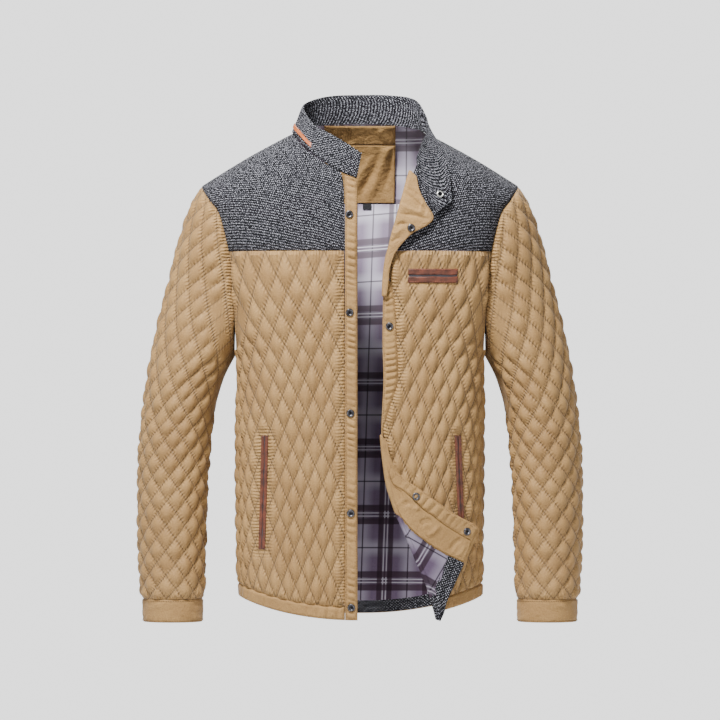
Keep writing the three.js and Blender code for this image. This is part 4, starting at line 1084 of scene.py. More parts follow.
def back_yoke(name):
    t = np.linspace(-1, 1, 121)
    share, rows = np.meshgrid(t, YOKE_LEVELS / 100)
    in_neck = np.abs(share) <= 0.5
    neck_x = NECK_X * np.sin(np.minimum(np.abs(share), 0.5) * np.pi)
    top_b = np.where(in_neck, yoke_b(neck_x, read(NECK_BACK, "z", neck_x)), 100)
    b = top_b * rows
    edge = yoke_edge_x(b) - SEAM / 2
    x = np.where(in_neck, neck_x, NECK_X + (edge - NECK_X) * (np.abs(share) - 0.5) * 2)
    return yoke_wall(name, 1, np.sign(share) * x, b)


yoke_front_right = front_yoke("yoke_front_right_tweed", -1, YOKE_RIGHT_EDGE, -SEAM / 2)
yoke_front_left = front_yoke("yoke_front_left_tweed", 1, YOKE_LEFT_EDGE, EDGE_BACK)
yoke_back = back_yoke("yoke_back_tweed")
dress(yoke_front_right, "yoke_front_right")
dress(yoke_front_left, "yoke_front_left")
dress(yoke_back, "yoke_back")


# %% [markdown]
# ## Sleeves and cuffs
# The sleeve is quilted along its own axis. Its seam runs inside the arm, where the cloth is gathered in
# small creases that fade out over a few centimetres, and the elbow carries a few soft troughs. The
# cloth was cut on a slant: one set of stitch lines climbs gently towards the body and the other falls
# steeply, and both swing upright towards the cuff.
# %% Quilted sleeves and plain cuffs
GATHER_MM = 13.0
CUFF_EXTRA = 0.3
CUFF_FINE = 5
CUFF_ROWS = 2
SLANT_MM = (24, 34)  # from one slanted stitch line to the next, of each set
SLEEVE_ROW_MM = 20.5
ELBOW_CREASES = table(
    "run around depth tilt width",
    [
        (14.5, -95, 2.2, 0.035, 0.55),
        (16.2, -60, 1.6, -0.030, 0.50),
        (18.0, 40, 1.8, 0.028, 0.60),
        (21.5, -70, 1.7, 0.030, 0.50),
        (24.6, 65, 1.5, -0.026, 0.50),
        (27.2, -80, 1.6, 0.024, 0.45),
    ],
)


def sleeve_relief(around, run, high, hand):
    inside = high - np.abs(around)
    z = read(SLEEVE_INNER, "z", run)
    turns = z / GATHER_MM + 0.5 * np.sin(z / 21 + hand) + np.sign(around) * 0.2
    gathers = 0.8 * np.cos(2 * np.pi * turns) * np.exp(-inside / 13) * smooth_step(15, 20, run)
    creases = np.zeros_like(run)
    for at_run, at_around, depth, tilt, width in zip(*ELBOW_CREASES.values(), strict=True):
        off = run - at_run - tilt * (around - at_around)
        reach = np.exp(-(((around - at_around) / 42) ** 2))
        creases -= depth * reach * np.exp(-((off / width) ** 2))
    return gathers + creases


def sleeve_piece(name, hand, from_run, to_run, rows, materials, quilted):
    fine = FINE if quilted else CUFF_FINE
    i = np.arange(SLEEVE_COLUMNS * fine + 1) / fine
    j = np.linspace(0, to_run - from_run, rows * fine + 1)
    i, j = np.meshgrid(i, j)
    around = (i - SLEEVE_COLUMNS / 2) * SLEEVE_PITCH / 2
    run = from_run + j + (0.02 if from_run else 0.0) * (j == 0)
    side = np.where(around < 0, -1, 1)
    high = np.maximum(0, sleeve_level(side, run)[-1] - SEAM / 2)
    clamped = np.clip(around, -high, high)
    points = on_sleeve(clamped, run)
    normals = normal_at(on_sleeve, clamped, run, -1)
    seam = armhole_normal(side, cap_z(run))
    to_seam = high - np.abs(clamped)
    normals = blended(normals, seam, smooth_step(SEAM_BLEND, 0, to_seam) * (run <= CAP_ROWS))
    inward, down = -clamped, run * SLEEVE_ROW_MM
    p = (inward - (0.268 + 0.0003 * down) * down) / SLANT_MM[0]
    q = (down + (0.70 + 0.0006 * down) * inward) / SLANT_MM[1]
    u, v = grid_lengths(points)
    relief = sleeve_relief(clamped, run, high, hand) * smooth_step(0, 9, to_seam + 4)
    if quilted:
        border = smooth_step(0, BORDER_FLAT_MM, np.minimum(to_seam, v[-1:] - v))
        border *= smooth_step(0, 1.2, run)
        pressed = smooth_step(*UNDERARM_PRESSED, to_seam) * smooth_step(5.5, 3.5, np.abs(run - CAP_ROWS))
        underarm = 1 - pressed
        relief = relief * underarm * smooth_step(0, 2, run) * border
        relief = relief + puff_height(p, q) * uneven(p, q) * border * underarm
    else:
        soft = 0.7 * np.sin(clamped / 9.0 + 2 * np.sin(run * 4)) * np.cos(run * 2.3 + clamped / 31)
        relief = relief * 0.5 + soft * smooth_step(0, 6, from_border(u, v))
    points, normals = handed(points, hand), handed(normals, hand)
    uvs = {"lattice": np.stack([p, q], -1), "beside": beside_uv(u, v)}
    thickness = SHELL if quilted else SHELL + CUFF_EXTRA
    return cloth_wall(name, points, normals, thickness, materials, relief=relief, uvs=uvs, body=False)


LAST_RUN = CAP_ROWS + ARM_ROWS
SLEEVE_MATERIALS = [QUILTED, LINING_SATIN]
CUFF_MATERIALS = [PLAIN, LINING_SATIN]
for hand, word in ((1, "left"), (-1, "right")):
    sleeve = sleeve_piece(f"sleeve_{word}_quilted", hand, 0, LAST_RUN, LAST_RUN, SLEEVE_MATERIALS, True)
    dress(sleeve, f"sleeve_{word}")
    cuff_runs = (LAST_RUN, LAST_RUN + CUFF_ROWS, CUFF_ROWS)
    cuff = sleeve_piece(f"cuff_{word}_plain", hand, *cuff_runs, CUFF_MATERIALS, False)
    dress(cuff, f"cuff_{word}")


# %% [markdown]
# ## Creases
# Sewn cloth is never flat. A band sewn along both edges draws up into small crosswise puckers, because
# the thread is a little shorter than the cloth. The larger creases are placed one by one: each is a soft
# trough, or a ridge where its depth is negative, along a short line.
# %% Puckers and placed creases
def puckers(across, along, spacing, height, seed):
    bend = 0.9 * np.sin(along / 31 + seed) + 0.5 * np.sin(along / 12.7 + 2 * seed) + 0.05 * across
    strength = 0.62 + 0.38 * np.sin(along / 19 + 3 * seed + across / 14)
    return height * strength * np.abs(np.sin(np.pi * along / spacing + bend))


CREASE_GAIN = 1.6  # real creases are deeper than they look in flat light


def placed_creases(lines, x, z):
    relief = np.zeros_like(x)
    for from_x, from_z, to_x, to_z, depth, width in lines:
        run = np.array([to_x - from_x, to_z - from_z], float)
        length = np.hypot(*run)
        along = ((x - from_x) * run[0] + (z - from_z) * run[1]) / length**2
        aside = ((x - from_x) * run[1] - (z - from_z) * run[0]) / length
        wander = 0.25 * width * np.sin(along * 7 + depth)
        ends = smooth_step(-0.15, 0.25, along) * smooth_step(1.15, 0.75, along)
        relief -= CREASE_GAIN * depth * ends * np.exp(-(((aside - wander) / width) ** 2))
    return relief


def plaid_uv(x, z):
    """The lining hangs a little askew, so its lengthwise lines lean and its crosswise lines rise."""
    lean = PLAID_LEAN * (-83.0 - z)
    rise = 0.09 * x * smooth_step(-330, -120, z)
    return np.stack([x - 20.3 + lean, z + 58.0 - rise], -1) / METRE


# %% [markdown]
# ## Plackets and hem
# The plackets and the hem are strips of plain shell folded double and sewn down along both edges.
# %% Plackets and hem bands
PLACKET_TAIL = 15  # the left placket runs on this far under the turned corner
BAND_PUCKERS = (9.5, 2.6)  # spacing and height
HEM_PUCKERS = (17.0, 2.2)
PLACKET_SNAPS = [(-15, -110), (-14.5, -248), (-13.5, -390), (-13, -531), (-12.3, -664)]
EDGE_SNAP = (41.5, -267.5)
BAND_SNAPS = [*PLACKET_SNAPS, EDGE_SNAP]


def placket_wall(name, a, b, seed):
    at = body_at(-1)
    points = at(a, b)
    u, v = grid_lengths(points)
    inside = smooth_step(1.8, 4.6, np.minimum(u, u[:, -1:] - u))
    relief = (puckers(u, v, *BAND_PUCKERS, seed) + 0.5) * inside
    for snap_x, snap_z in BAND_SNAPS:
        relief *= smooth_step(5, 12, np.hypot(a - snap_x, b - snap_z))
    return cloth_wall(name, points, normal_at(at, a, b), BAND_CLOTH, [PLAIN], relief=relief)


share, down = np.meshgrid(np.linspace(0, 1, 15), np.linspace(0, 1, 421))
a = -PLACKET_SEAM_X + (PLACKET_SEAM_X - PLACKET_EDGE_X) * share
top = read(NECK_SEAM_RIGHT, "z", a) - 1
placket_right = placket_wall("placket_right_band", a, top + (hem_z(a) - top) * down, 0.4)
dress(placket_right, "placket_right")

share, down = np.meshgrid(np.linspace(0, 1, 17), np.linspace(LAPEL_END_Z, CORNER_TOP_Z - PLACKET_TAIL, 161))
left_edge, left_seam = read(PLACKET_LEFT, "edge", down), read(PLACKET_LEFT, "seam", down) - SEAM
placket_left = placket_wall("placket_left_band", left_edge + (left_seam - left_edge) * share, down, 2.2)
dress(placket_left, "placket_left")

HEM_LIMIT = float(quarter_length(-1, np.array(HEM_Z + HEM_SIDE_RISE)))
BACK_LIMIT = float(quarter_length(1, np.array(HEM_Z + HEM_SIDE_RISE)))
LEFT_HEM_START = float(along_at_x(-1, read(CORNER_ROLL, "x", HEM_Z) + EDGE_BACK, HEM_Z))
HEM_LAP = 1.4  # the band runs this far up under the panel, so no light shows through the seam


def hem_band(name, side, start, end, length):
    a, up = np.meshgrid(np.linspace(start, end, int(length)), np.linspace(1, 0, 13))
    x = on_body(side, a, HEM_Z + HEM_SIDE_RISE)[..., 0]
    b = hem_z(x) + (HEM_BAND + HEM_LAP) * up
    at = arc_at(side)
    points = at(a, b)
    u, v = grid_lengths(points)
    inside = smooth_step(0, 3, np.minimum(v, v[-1:] - v)) * smooth_step(0, 4, np.minimum(u, u[:, -1:] - u))
    relief = (puckers(v, u, *HEM_PUCKERS, side * 1.3) + 0.7) * inside
    return cloth_wall(name, points, normal_at(at, a, b, -side), BAND_CLOTH, [PLAIN], relief=relief)


hem_right = hem_band("hem_right_band", -1, -HEM_LIMIT, -PLACKET_SEAM_X - SEAM, 150)
hem_left = hem_band("hem_left_band", -1, LEFT_HEM_START, HEM_LIMIT, 100)
hem_back = hem_band("hem_back_band", 1, -BACK_LIMIT, BACK_LIMIT, 260)
dress(hem_right, "hem_band_right")
dress(hem_left, "hem_band_left")
dress(hem_back, "hem_band_back")


# %% [markdown]
# ## Turned edges
# The left front is left open. Its upper edge falls outwards as a lapel and its lower corner is turned
# up, so that the inside shows. Each is one piece of cloth that rolls over a 3 mm fold and lies on the
# front: it is worked out as a strip that first goes round the fold and then runs on flat.
# %% Lapel and turned corner
LAPEL = [
    (71, -47, 79.5, -56),
    (66, -64, 84, -76),
    (61.3, -82, 93, -94),
    (55.5, -103, 103.5, -113),
    (50, -123, 95, -125),
    (45.3, -140, 73.5, -137),
    (41, -157, 57, -154),
    (37.0, -172, 47.5, -169),
    (34.4, -190, 42, -188),
    (33.0, -206, 40.5, -205),
    (32.4, -226, 38, -225),
]
CORNER = [
    (29.5, -420, 38.5, -431),
    (31, -438, 44, -455),
    (33.5, -460, 60, -480),
    (38, -490, 84, -496.5),
    (45, -513, 110, -516),
    (52.3, -534, 140, -535.5),
    (60, -551, 168, -552),
    (70, -574, 161, -574),
    (81, -601, 147, -603),
    (92, -625, 134.5, -629),
    (99.5, -649, 123, -654),
    (105, -667, 118.5, -671),
    (108.5, -681, 113, -683),
]
CORNER_PLAID_TURN = np.radians(-30)
CORNER_PLAID_PLACE = (91.0, -585.0)
CORNER_PLAID_UV = (33.5, -577.2 + 41.7)
FACING_LOW_X = [29, 55, 66, 81, 96, 108, 124, 147]
FACING_LOW_Z = [-505, -534, -550, -563, -574, -582.5, -591, -601]
TWEED_LEFT_Z = [-585, -591, -621, -651, -683]
TWEED_LEFT_X = [125, 123.4, 111, 99, 99]
LAPEL_CREASES = [
    (60, -76, 92, -104, 1.3, 2.2),
    (66, -72, 84, -84, 1.0, 2.0),
    (56, -96, 88, -110, -1.1, 2.6),
    (54, -108, 96, -116, 1.2, 2.4),
    (50, -126, 66, -122, 1.4, 2.4),
    (46, -138, 62, -130, -1.0, 2.6),
    (43, -150, 56, -142, 1.0, 2.2),
    (88, -92, 84, -108, -1.0, 1.8),
    (94, -98, 90, -112, 0.9, 1.8),
]


def levels_table(rows):
    return table("level left_x left_z right_x right_z", [(k, *row) for k, row in enumerate(rows)])


def corner_plaid(x, z):
    """The lining's check, turned as it lies on the corner."""
    ax, az = x - CORNER_PLAID_PLACE[0], z - CORNER_PLAID_PLACE[1]
    cos, sin = np.cos(CORNER_PLAID_TURN), np.sin(CORNER_PLAID_TURN)
    u, v = ax * cos + az * sin, az * cos - ax * sin
    return (np.stack([u, v], -1) + CORNER_PLAID_UV) / METRE


def turned(rows, depth_at):
    levels = levels_table(rows)

    def at(a, b):
        left_x, left_z, right_x, right_z = (read(levels, c, b) for c in list(levels)[1:])
        length = np.hypot(right_x - left_x, right_z - left_z)
        share = np.maximum(0, a - FOLD_SHARE) / (100 - FOLD_SHARE)
        turn = (np.minimum(a, FOLD_SHARE) / FOLD_SHARE - 0.5) * np.pi
        out = FOLD_RADIUS * (1 - np.cos(turn)) + (length - FOLD_RADIUS) * share
        x = left_x + (right_x - left_x) / length * out
        z = left_z + (right_z - left_z) / length * out
        return np.stack([x, depth_at(x, z) - SHELL - FOLD_RADIUS * (1 + np.sin(turn)), z], -1)

    return at


def corner_depth(x):
    return -FRONT_DEPTH - 2 + 0.0016 * (x - 30) ** 2


def shown_inside(x, z):
    """1 where the corner shows its plaid lining, 2 where it shows the tweed hem facing, otherwise 0."""
    facing_low = np.interp(x, FACING_LOW_X, FACING_LOW_Z)
    tweed_left = np.interp(-z, -np.array(TWEED_LEFT_Z), TWEED_LEFT_X)
    return np.where(z < facing_low, np.where(x > tweed_left, 2, 1), 0)


def turned_wall(name, rows, depth_at, creases, materials, shown=None):
    at = turned(rows, depth_at)
    shares = np.concatenate([np.linspace(0, FOLD_SHARE, 14), np.linspace(FOLD_SHARE, 100, 46)[1:]])
    a, b = np.meshgrid(shares, np.linspace(0, len(rows) - 1, 12 * (len(rows) - 1) + 1))
    points = at(a, b)
    u, v = grid_lengths(points)
    relief = placed_creases(creases, points[..., 0], points[..., 2])
    relief += 0.25 * np.sin(points[..., 0] / 5 + points[..., 2] / 7)
    relief *= smooth_step(0, 4, from_border(u, v)) * smooth_step(0.4 * FOLD_SHARE, FOLD_SHARE, a)
    x, z = points[..., 0], points[..., 2]
    index = 0 if shown is None else shown(x[:-1, :-1], z[:-1, :-1])
    uvs = {"plaid": corner_plaid(x, z), "lattice": np.stack([x, z], -1) / 30, "beside": beside_uv(u, v)}
    normals = normal_at(at, a, b, -1, 0.05)
    return cloth_wall(name, points, normals, SHELL, materials, relief=relief, uvs=uvs, outer_index=index)


on_chest = lambda x, z: body_y(-1, x, z)
lapel = turned_wall("lapel_left_turned", LAPEL, on_chest, LAPEL_CREASES, [PLAIN])
dress(lapel, "lapel_left")
CORNER_MATERIALS = [PLAIN, PLAID_SHADED_TURNED, TWEED, QUILTED]
on_front = lambda x, z: corner_depth(x)
corner = turned_wall("corner_left_turned", CORNER, on_front, [], CORNER_MATERIALS, shown_inside)
dress(corner, "corner_shell")


# %% [markdown]
# ### Inside of the turned corner
# Four pieces show where the corner lies inside out: the placket with its two snaps, the plain facing
# behind it, the plaid lining, and the tweed facing of the hem.
# %% Pieces on the turned corner
CORNER_PIECES = {
    "corner_placket": [
        (41, -459, 39.5, -470),
        (48, -470, 46, -488.5),
        (64.9, -484.5, 62, -499.5),
        (79, -494, 75, -511),
        (95, -506, 88, -524.5),
        (110, -517, 102, -534),
        (126, -529.8, 115, -544.3),
        (146, -538.8, 137, -558.5),
        (167, -553, 158, -570),
    ],
    "corner_facing": [
        (39.7, -470.6, 41, -484),
        (45.6, -489.2, 46, -505),
        (61.7, -500, 55.5, -531),
        (74.6, -511.5, 68, -548),
        (87.6, -525, 81, -561),
        (101.6, -534.5, 96, -572),
        (114.6, -544.9, 108, -580.5),
        (136.6, -559.1, 124, -589.5),
        (157.6, -570.6, 147, -599.5),
    ],
    "corner_lining": [
        (56.5, -534.5, 57.5, -537),
        (62.5, -550.5, 66, -551.5),
        (71, -568, 94.5, -575),
        (79.5, -588, 122, -591.5),
        (88.5, -607, 118.6, -607),
        (97, -627, 113.2, -629),
        (104.5, -647, 108.2, -648.5),
    ],
    "corner_hem_facing": [
        (124.5, -590.9, 146.2, -601),
        (117.5, -607, 139.5, -617),
        (108, -629, 130, -638),
        (103, -650, 121, -658),
        (107, -672, 114.5, -676),
    ],
}
FACING_CREASES = [
    (66, -520, 88, -524, -1.6, 4.0),
    (60, -515, 78, -522, 1.5, 3.4),
    (84, -545, 100, -540, 1.6, 3.6),
    (96, -562, 112, -550, -1.3, 3.8),
    (50, -490, 60, -512, 1.2, 3.0),
    (126, -582, 142, -566, 1.0, 3.0),
    (136, -592, 150, -578, -0.9, 2.6),
]


CORNER_FACE_LIFT = 2 * SHELL + 2 * FOLD_RADIUS + 0.6


def corner_face(x, z):
    return np.stack([x, corner_depth(x) - CORNER_FACE_LIFT, z], -1)


def grid_between(rows, across, along):
    levels = levels_table(rows)
    share, level = np.meshgrid(np.linspace(0, 1, across), np.linspace(0, len(rows) - 1, along))
    left_x, left_z, right_x, right_z = (read(levels, c, level) for c in list(levels)[1:])
    return left_x + (right_x - left_x) * share, left_z + (right_z - left_z) * share


CORNER_GRID = (31, 141)


def corner_piece(name, material, relief_at):
    x, z = grid_between(CORNER_PIECES[name], *CORNER_GRID)
    points = corner_face(x, z)
    u, v = grid_lengths(points)
    relief = relief_at(x, z, u, v) * smooth_step(0, 3, from_border(u, v))
    uvs = {"plaid": corner_plaid(x, z)}
    normals = normal_at(corner_face, x, z)
    name += "_cloth"
    return cloth_wall(name, points, normals, PLAIN_CLOTH, [material], relief, edge=0.9, uvs=uvs)


corner_placket = corner_piece("corner_placket", PLAIN, lambda x, z, u, v: puckers(u, v, 11, 2.2, 1.0))
corner_facing = corner_piece("corner_facing", PLAIN, lambda x, z, u, v: placed_creases(FACING_CREASES, x, z))
corner_lining = corner_piece("corner_lining", PLAID_SHADED_TURNED, lambda x, z, u, v: 0.6 * np.sin(x / 9 + z / 14))
two_folds = lambda x, z, u, v: 0.8 * np.cos((u - 8) / 16 * 2 * np.pi)
corner_hem = corner_piece("corner_hem_facing", TWEED, two_folds)
dress(corner_placket, "corner_placket")
dress(corner_facing, "corner_facing")
dress(corner_lining, "corner_lining")
dress(corner_hem, "corner_hem_facing")


# %% [markdown]
# ## Collar
# The collar is one band of tweed from the neck seam to the rim. At the wearer's right it stands; at the
# left its end flops outwards with the lapel, so its inner face shows there with the open snap.
# %% Collar and its leather tab
COLLAR = table(
    "run seam_x seam_z rise lift rim_x rim_y rim_z",
    [
        (0, -4.5, -60, 1, 0, 2.5, -104, -23),
        (1, -27, -50.5, 1, 0, -28, -96, -3),
        (2, -50, -37, 1.5, 0, -47, -86, 8),
        (3, -69, -23, 2.2, 0.3, -63, -70, 17),
        (4, -84.5, -8, 3.8, 0, -75, -40, 33),
        (5, -94, 7, 4.2, 0, -80, -4, 47),
        (6, -80, 17, 3, 0, -70, 32, 57),
        (7, -45, 25, 2.5, 0, -42, 55, 65),
        (8, 0, 27, 2.5, 0, 0, 64, 67),
        (9, 45, 25, 2.5, 0, 44, 56, 66),
        (10, 80, 17, 3, 0, 78, 36, 59),
        (11, 95, 7, 3.6, 0, 92, 0, 36),
        (12, 90, -6, 5, 3, 102, -28, 12),
        (13, 84, -22, 4, 6, 113, -52, -8),
        (14, 80, -38, 2, 9, 121, -76, -28),
        (15, 90.5, -76, 2, 11, 127, -100, -58),
        (16, 105.5, -111, 2, 12, 130, -112, -90),
    ],
)
COLLAR_BACK_RUNS = (5, 11)


def on_collar(run, height):
    seam_x, seam_z, rise, lift, rim_x, rim_y, rim_z = (read(COLLAR, c, run) for c in list(COLLAR)[1:])
    behind = (run > COLLAR_BACK_RUNS[0]) & (run < COLLAR_BACK_RUNS[1])
    seat_y = np.where(behind, body_y(1, seam_x, seam_z), body_y(-1, seam_x, seam_z))
    seam = np.stack([seam_x, seat_y - lift, seam_z + rise], -1)
    rim = np.stack([rim_x, rim_y, rim_z], -1)
    return seam + (rim - seam) * (np.asarray(height) / 10)[..., None]


def collar_wall(name, runs, heights, steps, thickness, lift, materials, soft, below=0.0):
    run, height = np.meshgrid(np.linspace(*runs, steps[0]), np.linspace(*heights, steps[1]))
    if below:
        low = below * smooth_step(4.2, 5.4, run) * smooth_step(12.5, 11, run)
        height = height - low * (1 - height / 10)
    points = on_collar(run, height)
    u, v = grid_lengths(points)
    full = smooth_step(0, 5, from_border(u, v))
    relief = soft * full * (0.7 + np.sin(run * 3.1 + height / 3) * np.cos(run * 1.3 - height / 4))
    normals = normal_at(on_collar, run, height, -1, 0.05)
    edge = 2.4 if soft else 0.8
    return cloth_wall(name, points, normals, thickness, materials, relief, lift, edge)


collar = collar_wall("collar_tweed", (0, 16), (0, 10), (321, 37), COLLAR_CLOTH, 0.0, [TWEED], 0.5, 1.1)
dress(collar, "collar")
tab_lift = COLLAR_CLOTH + 0.7
tab = collar_wall("collar_tab_leather", (3, 5), (1.3, 3), (41, 9), LEATHER, tab_lift, [TAB_LEATHER], 0.0)
dress(tab, "collar_tab")


# %% [markdown]
# ## Inside of the back
# Through the open front the eye sees the plaid lining, a plain facing and a plain patch below the
# collar, a small blank label, and the tweed facing along the inside of the hem.
# %% Lining and neck pieces
LINING_GAP = 1.5
LINING_TOP_HALF = 96.0
LINING_MARGIN = 14.0
LINING_TOP_Z = -89
LINING_YOKE_SHARE = 0.12  # of its rows, which lie behind the yoke
FACING_INSET = 6
PATCH_LIFT = -3.6
PATCH_CREASES = [
    (44, 1, 12, -78, -2.0, 7.0),
    (31, -16, 2, -78, 2.3, 6.0),
    (16, -20, -14, -74, -1.2, 6.0),
    (50, -10, 36, -70, 1.5, 5.0),
    (-40, -12, -22, -60, 1.2, 8.0),
    (-20, 22, -12, 0, 1.3, 3.5),
    (-34, 20, -40, -2, -1.0, 5.0),
    (30, 22, 38, 2, -0.9, 6.0),
]


def lining_at(along, z):
    x = on_body(1, along, YOKE_Z)[..., 0]
    inset = np.minimum(1, (z - YOKE_Z) / 20)
    above = np.stack([x, body_y(1, x, z) - inset, z], -1)
    return np.where((z <= YOKE_Z)[..., None], on_body(1, along, z), above)


along, level = np.meshgrid(np.linspace(-1, 1, 101), np.linspace(0, 1, 151))
upper = level < LINING_YOKE_SHARE
row = np.maximum(0, (level - LINING_YOKE_SHARE) / (1 - LINING_YOKE_SHARE)) * FRONT_ROWS
limit = limit_along(1, row) - LINING_MARGIN
top_half = LINING_TOP_HALF + (limit - LINING_TOP_HALF) * smooth_step(0.10, 0.16, level)
a = along * np.where(upper, LINING_TOP_HALF, top_half)
upper_z = LINING_TOP_Z + (YOKE_Z - LINING_TOP_Z) * level / LINING_YOKE_SHARE
z = np.where(upper, upper_z, quilt_z(1, row, np.abs(a)) + 0.6 * (row == FRONT_ROWS))
points = lining_at(a, z)
normals = normal_at(lining_at, a, z, -1)
hang = -0.7 * (1 + np.sin(a / 26 + z / 210)) * smooth_step(0, 20, from_border(*grid_lengths(points)))
lining = cloth_wall(
    "lining_back_plaid",
    points,
    normals,
    PLAIN_CLOTH,
    [PLAID],
    lift=hang - LINING_GAP - PLAIN_CLOTH,
    uvs={"plaid": plaid_uv(points[..., 0], z)},
    edge=0.8,
)
dress(lining, "lining_back")

facing_end = BACK_LIMIT - FACING_INSET
a, level = np.meshgrid(np.linspace(-facing_end, facing_end, 221), np.linspace(0, 1, 11))
x = on_body(1, a, HEM_Z + HEM_SIDE_RISE)[..., 0]
b = hem_z(x) + HEM_BAND + HEM_LAP - (HEM_BAND + HEM_LAP - 1) * level
back_at = arc_at(1)
facing = cloth_wall(
    "hem_facing_back_tweed",
    back_at(a, b),
    normal_at(back_at, a, b, -1),
    PLAIN_CLOTH,
    [TWEED],
    lift=-1 - PLAIN_CLOTH - 0.3 * (1 + np.cos((level - 0.5) * 4 * np.pi)),
    edge=0.8,
)
dress(facing, "hem_facing_back")


def neck_wall(name, rows, steps, lift, material, creases, edge=0.9):
    x, z = grid_between(rows, *steps)
    at = body_at(1)
    points = at(x, z)
    pressed = placed_creases(creases, x, z) * smooth_step(0, 7, from_border(*grid_lengths(points)))
    lifted = lift - 1.2 * (pressed != 0) - pressed
    normals = normal_at(at, x, z, -1)
    return cloth_wall(name, points, normals, PLAIN_CLOTH, [material], lift=lifted, edge=edge)


neck_rows = [(-52, 24, 52, 24), (-52, -2.5, 52, -2.5)]
patch_rows = [(-52, -3, 52, -3), (-50, -87.5, 50, -87.5)]
label_rows = [(4, -88, 16.5, -88), (4, -96, 16.5, -96)]
neck = neck_wall("neck_facing_cloth", neck_rows, (61, 21), PATCH_LIFT, PLAIN, PATCH_CREASES)
patch = neck_wall("locker_patch_cloth", patch_rows, (81, 71), PATCH_LIFT, PLAIN, PATCH_CREASES)
label = neck_wall("neck_label_woven", label_rows, (14, 10), PATCH_LIFT - 2, LABEL, [], 0.4)
dress(neck, "neck_facing")
dress(patch, "locker_patch")
dress(label, "neck_label")


# %% [markdown]
# ## Leather welts
# Each pocket mouth has two narrow strips of folded leather, sewn down along the outside. The mouth
# itself is the slit between them. The folded edges have worn a little wavy.
# %% Hand and chest pocket welts
WELT_LIFT = SHELL + 0.4


def welt_wall(name, a, b, seed):
    at = arc_at(-1)
    points = at(a, b)
    u, v = grid_lengths(points)
    soft = 0.35 * np.sin(np.maximum(u, v) / 6 + seed) + 0.2 * np.sin(np.maximum(u, v) / 2.3 + 2 * seed)
    relief = (0.3 + soft) * smooth_step(0, 1.6, from_border(u, v))
    return cloth_wall(name, points, normal_at(at, a, b), LEATHER, [WELT_LEATHER], relief, WELT_LIFT, 1.4)


for front, pocket in HAND_POCKETS.items():
    hand, word = (1, "left") if front == "front_left" else (-1, "right")
    for edge, aside in (("outer", 1), ("inner", -1)):
        out, z = np.meshgrid(np.linspace(0, 1, 9), np.linspace(pocket["top"][1], pocket["bottom"][1], 121))
        wave = 0.35 * np.sin(z / 7 + aside) * (1 - out)
        away = WELT_SLIT / 2 + WELT_WIDTH * out + wave * smooth_step(0, 12, np.minimum(z - z[-1], z[0] - z))
        a = hand * (pocket_along(pocket, z) + aside * away)
        strip = welt_wall(f"hand_welt_{word}_{edge}_leather", a, z, hand + aside * 0.7)
        dress(strip, f"hand_welt_{word}_{edge}")

chest_height = (CHEST_POCKET["top_z"] - CHEST_POCKET["bottom_z"] - CHEST_POCKET["slit"]) / 2
for word, top_z in (("upper", CHEST_POCKET["top_z"]), ("lower", CHEST_POCKET["bottom_z"] + chest_height)):
    x = np.linspace(CHEST_POCKET["from_x"], CHEST_POCKET["to_x"], 71)
    x, down = np.meshgrid(x, np.linspace(0, 1, 13))
    a = along_at_x(-1, x, np.full_like(x, top_z))
    slit_edge = 1 - down if word == "lower" else down
    z = top_z - chest_height * down + 0.35 * np.sin(x / 6 + top_z) * slit_edge * smooth_step(65, 72, x)
    strip = welt_wall(f"chest_welt_{word}_leather", a, z, top_z)
    dress(strip, f"chest_welt_{word}")


# %% [markdown]
# Behind each slit lies the dark pocket bag, which closes the mouth. It is a strip just above the shell.
# %% Pocket mouths in painted shade
MOUTH_SHADE_THICKNESS = 0.3
MOUTH_ACROSS = [-1.6, 0.0, 1.6]
CHEST_MOUTH_Z = [-194, -196.2, -198.4]


def mouth_shade_strip(name, a, b):
    at = arc_at(-1)
    points, normals = at(a, b), normal_at(at, a, b)
    piece = cloth_wall(name, points, normals, MOUTH_SHADE_THICKNESS, [LINING_SATIN], lift=SHELL + 0.25, edge=0.3)
    dress(piece, None)


for front, pocket in HAND_POCKETS.items():
    hand = 1 if front == "front_left" else -1
    across, z = np.meshgrid(MOUTH_ACROSS, np.linspace(pocket["top"][1] - 1, pocket["bottom"][1] + 1, 61))
    mouth_shade_strip(front + "_pocket_mouth_shade", hand * (pocket_along(pocket, z) + across), z)
x, z = np.meshgrid(np.linspace(CHEST_POCKET["from_x"] + 1, CHEST_POCKET["to_x"] - 1, 31), CHEST_MOUTH_Z)
mouth_shade_strip("chest_pocket_mouth_shade", along_at_x(-1, x, z), z)


# %% [markdown]
# ## Press snaps
# A ring snap is a pressed metal ring with a hollow in the middle. The one on the collar is the socket's
# open back ring and is nickel bright, the others are plated dark.
# %% Press snaps
SNAP_SEGMENTS = 48
SNAP_PROFILE = [
    (0.0, 0.75),
    (1.2, 0.7),
    (1.75, 0.35),
    (2.1, 0.4),
    (2.5, 1.1),
    (3.1, 1.75),
    (4.0, 2.15),
    (4.8, 2.1),
    (5.3, 1.7),
    (5.6, 1.0),
    (5.5, 0.0),
    (0.0, 0.0),
]
OPEN_RING_PROFILE = [
    (0.0, 0.3),
    (2.4, 0.3),
    (2.7, 0.7),
    (3.0, 1.5),
    (3.7, 2.0),
    (4.5, 1.95),
    (5.1, 1.4),
    (5.4, 0.7),
    (5.4, 0.0),
    (0.0, 0.0),
]
DARK_RINGS = 3


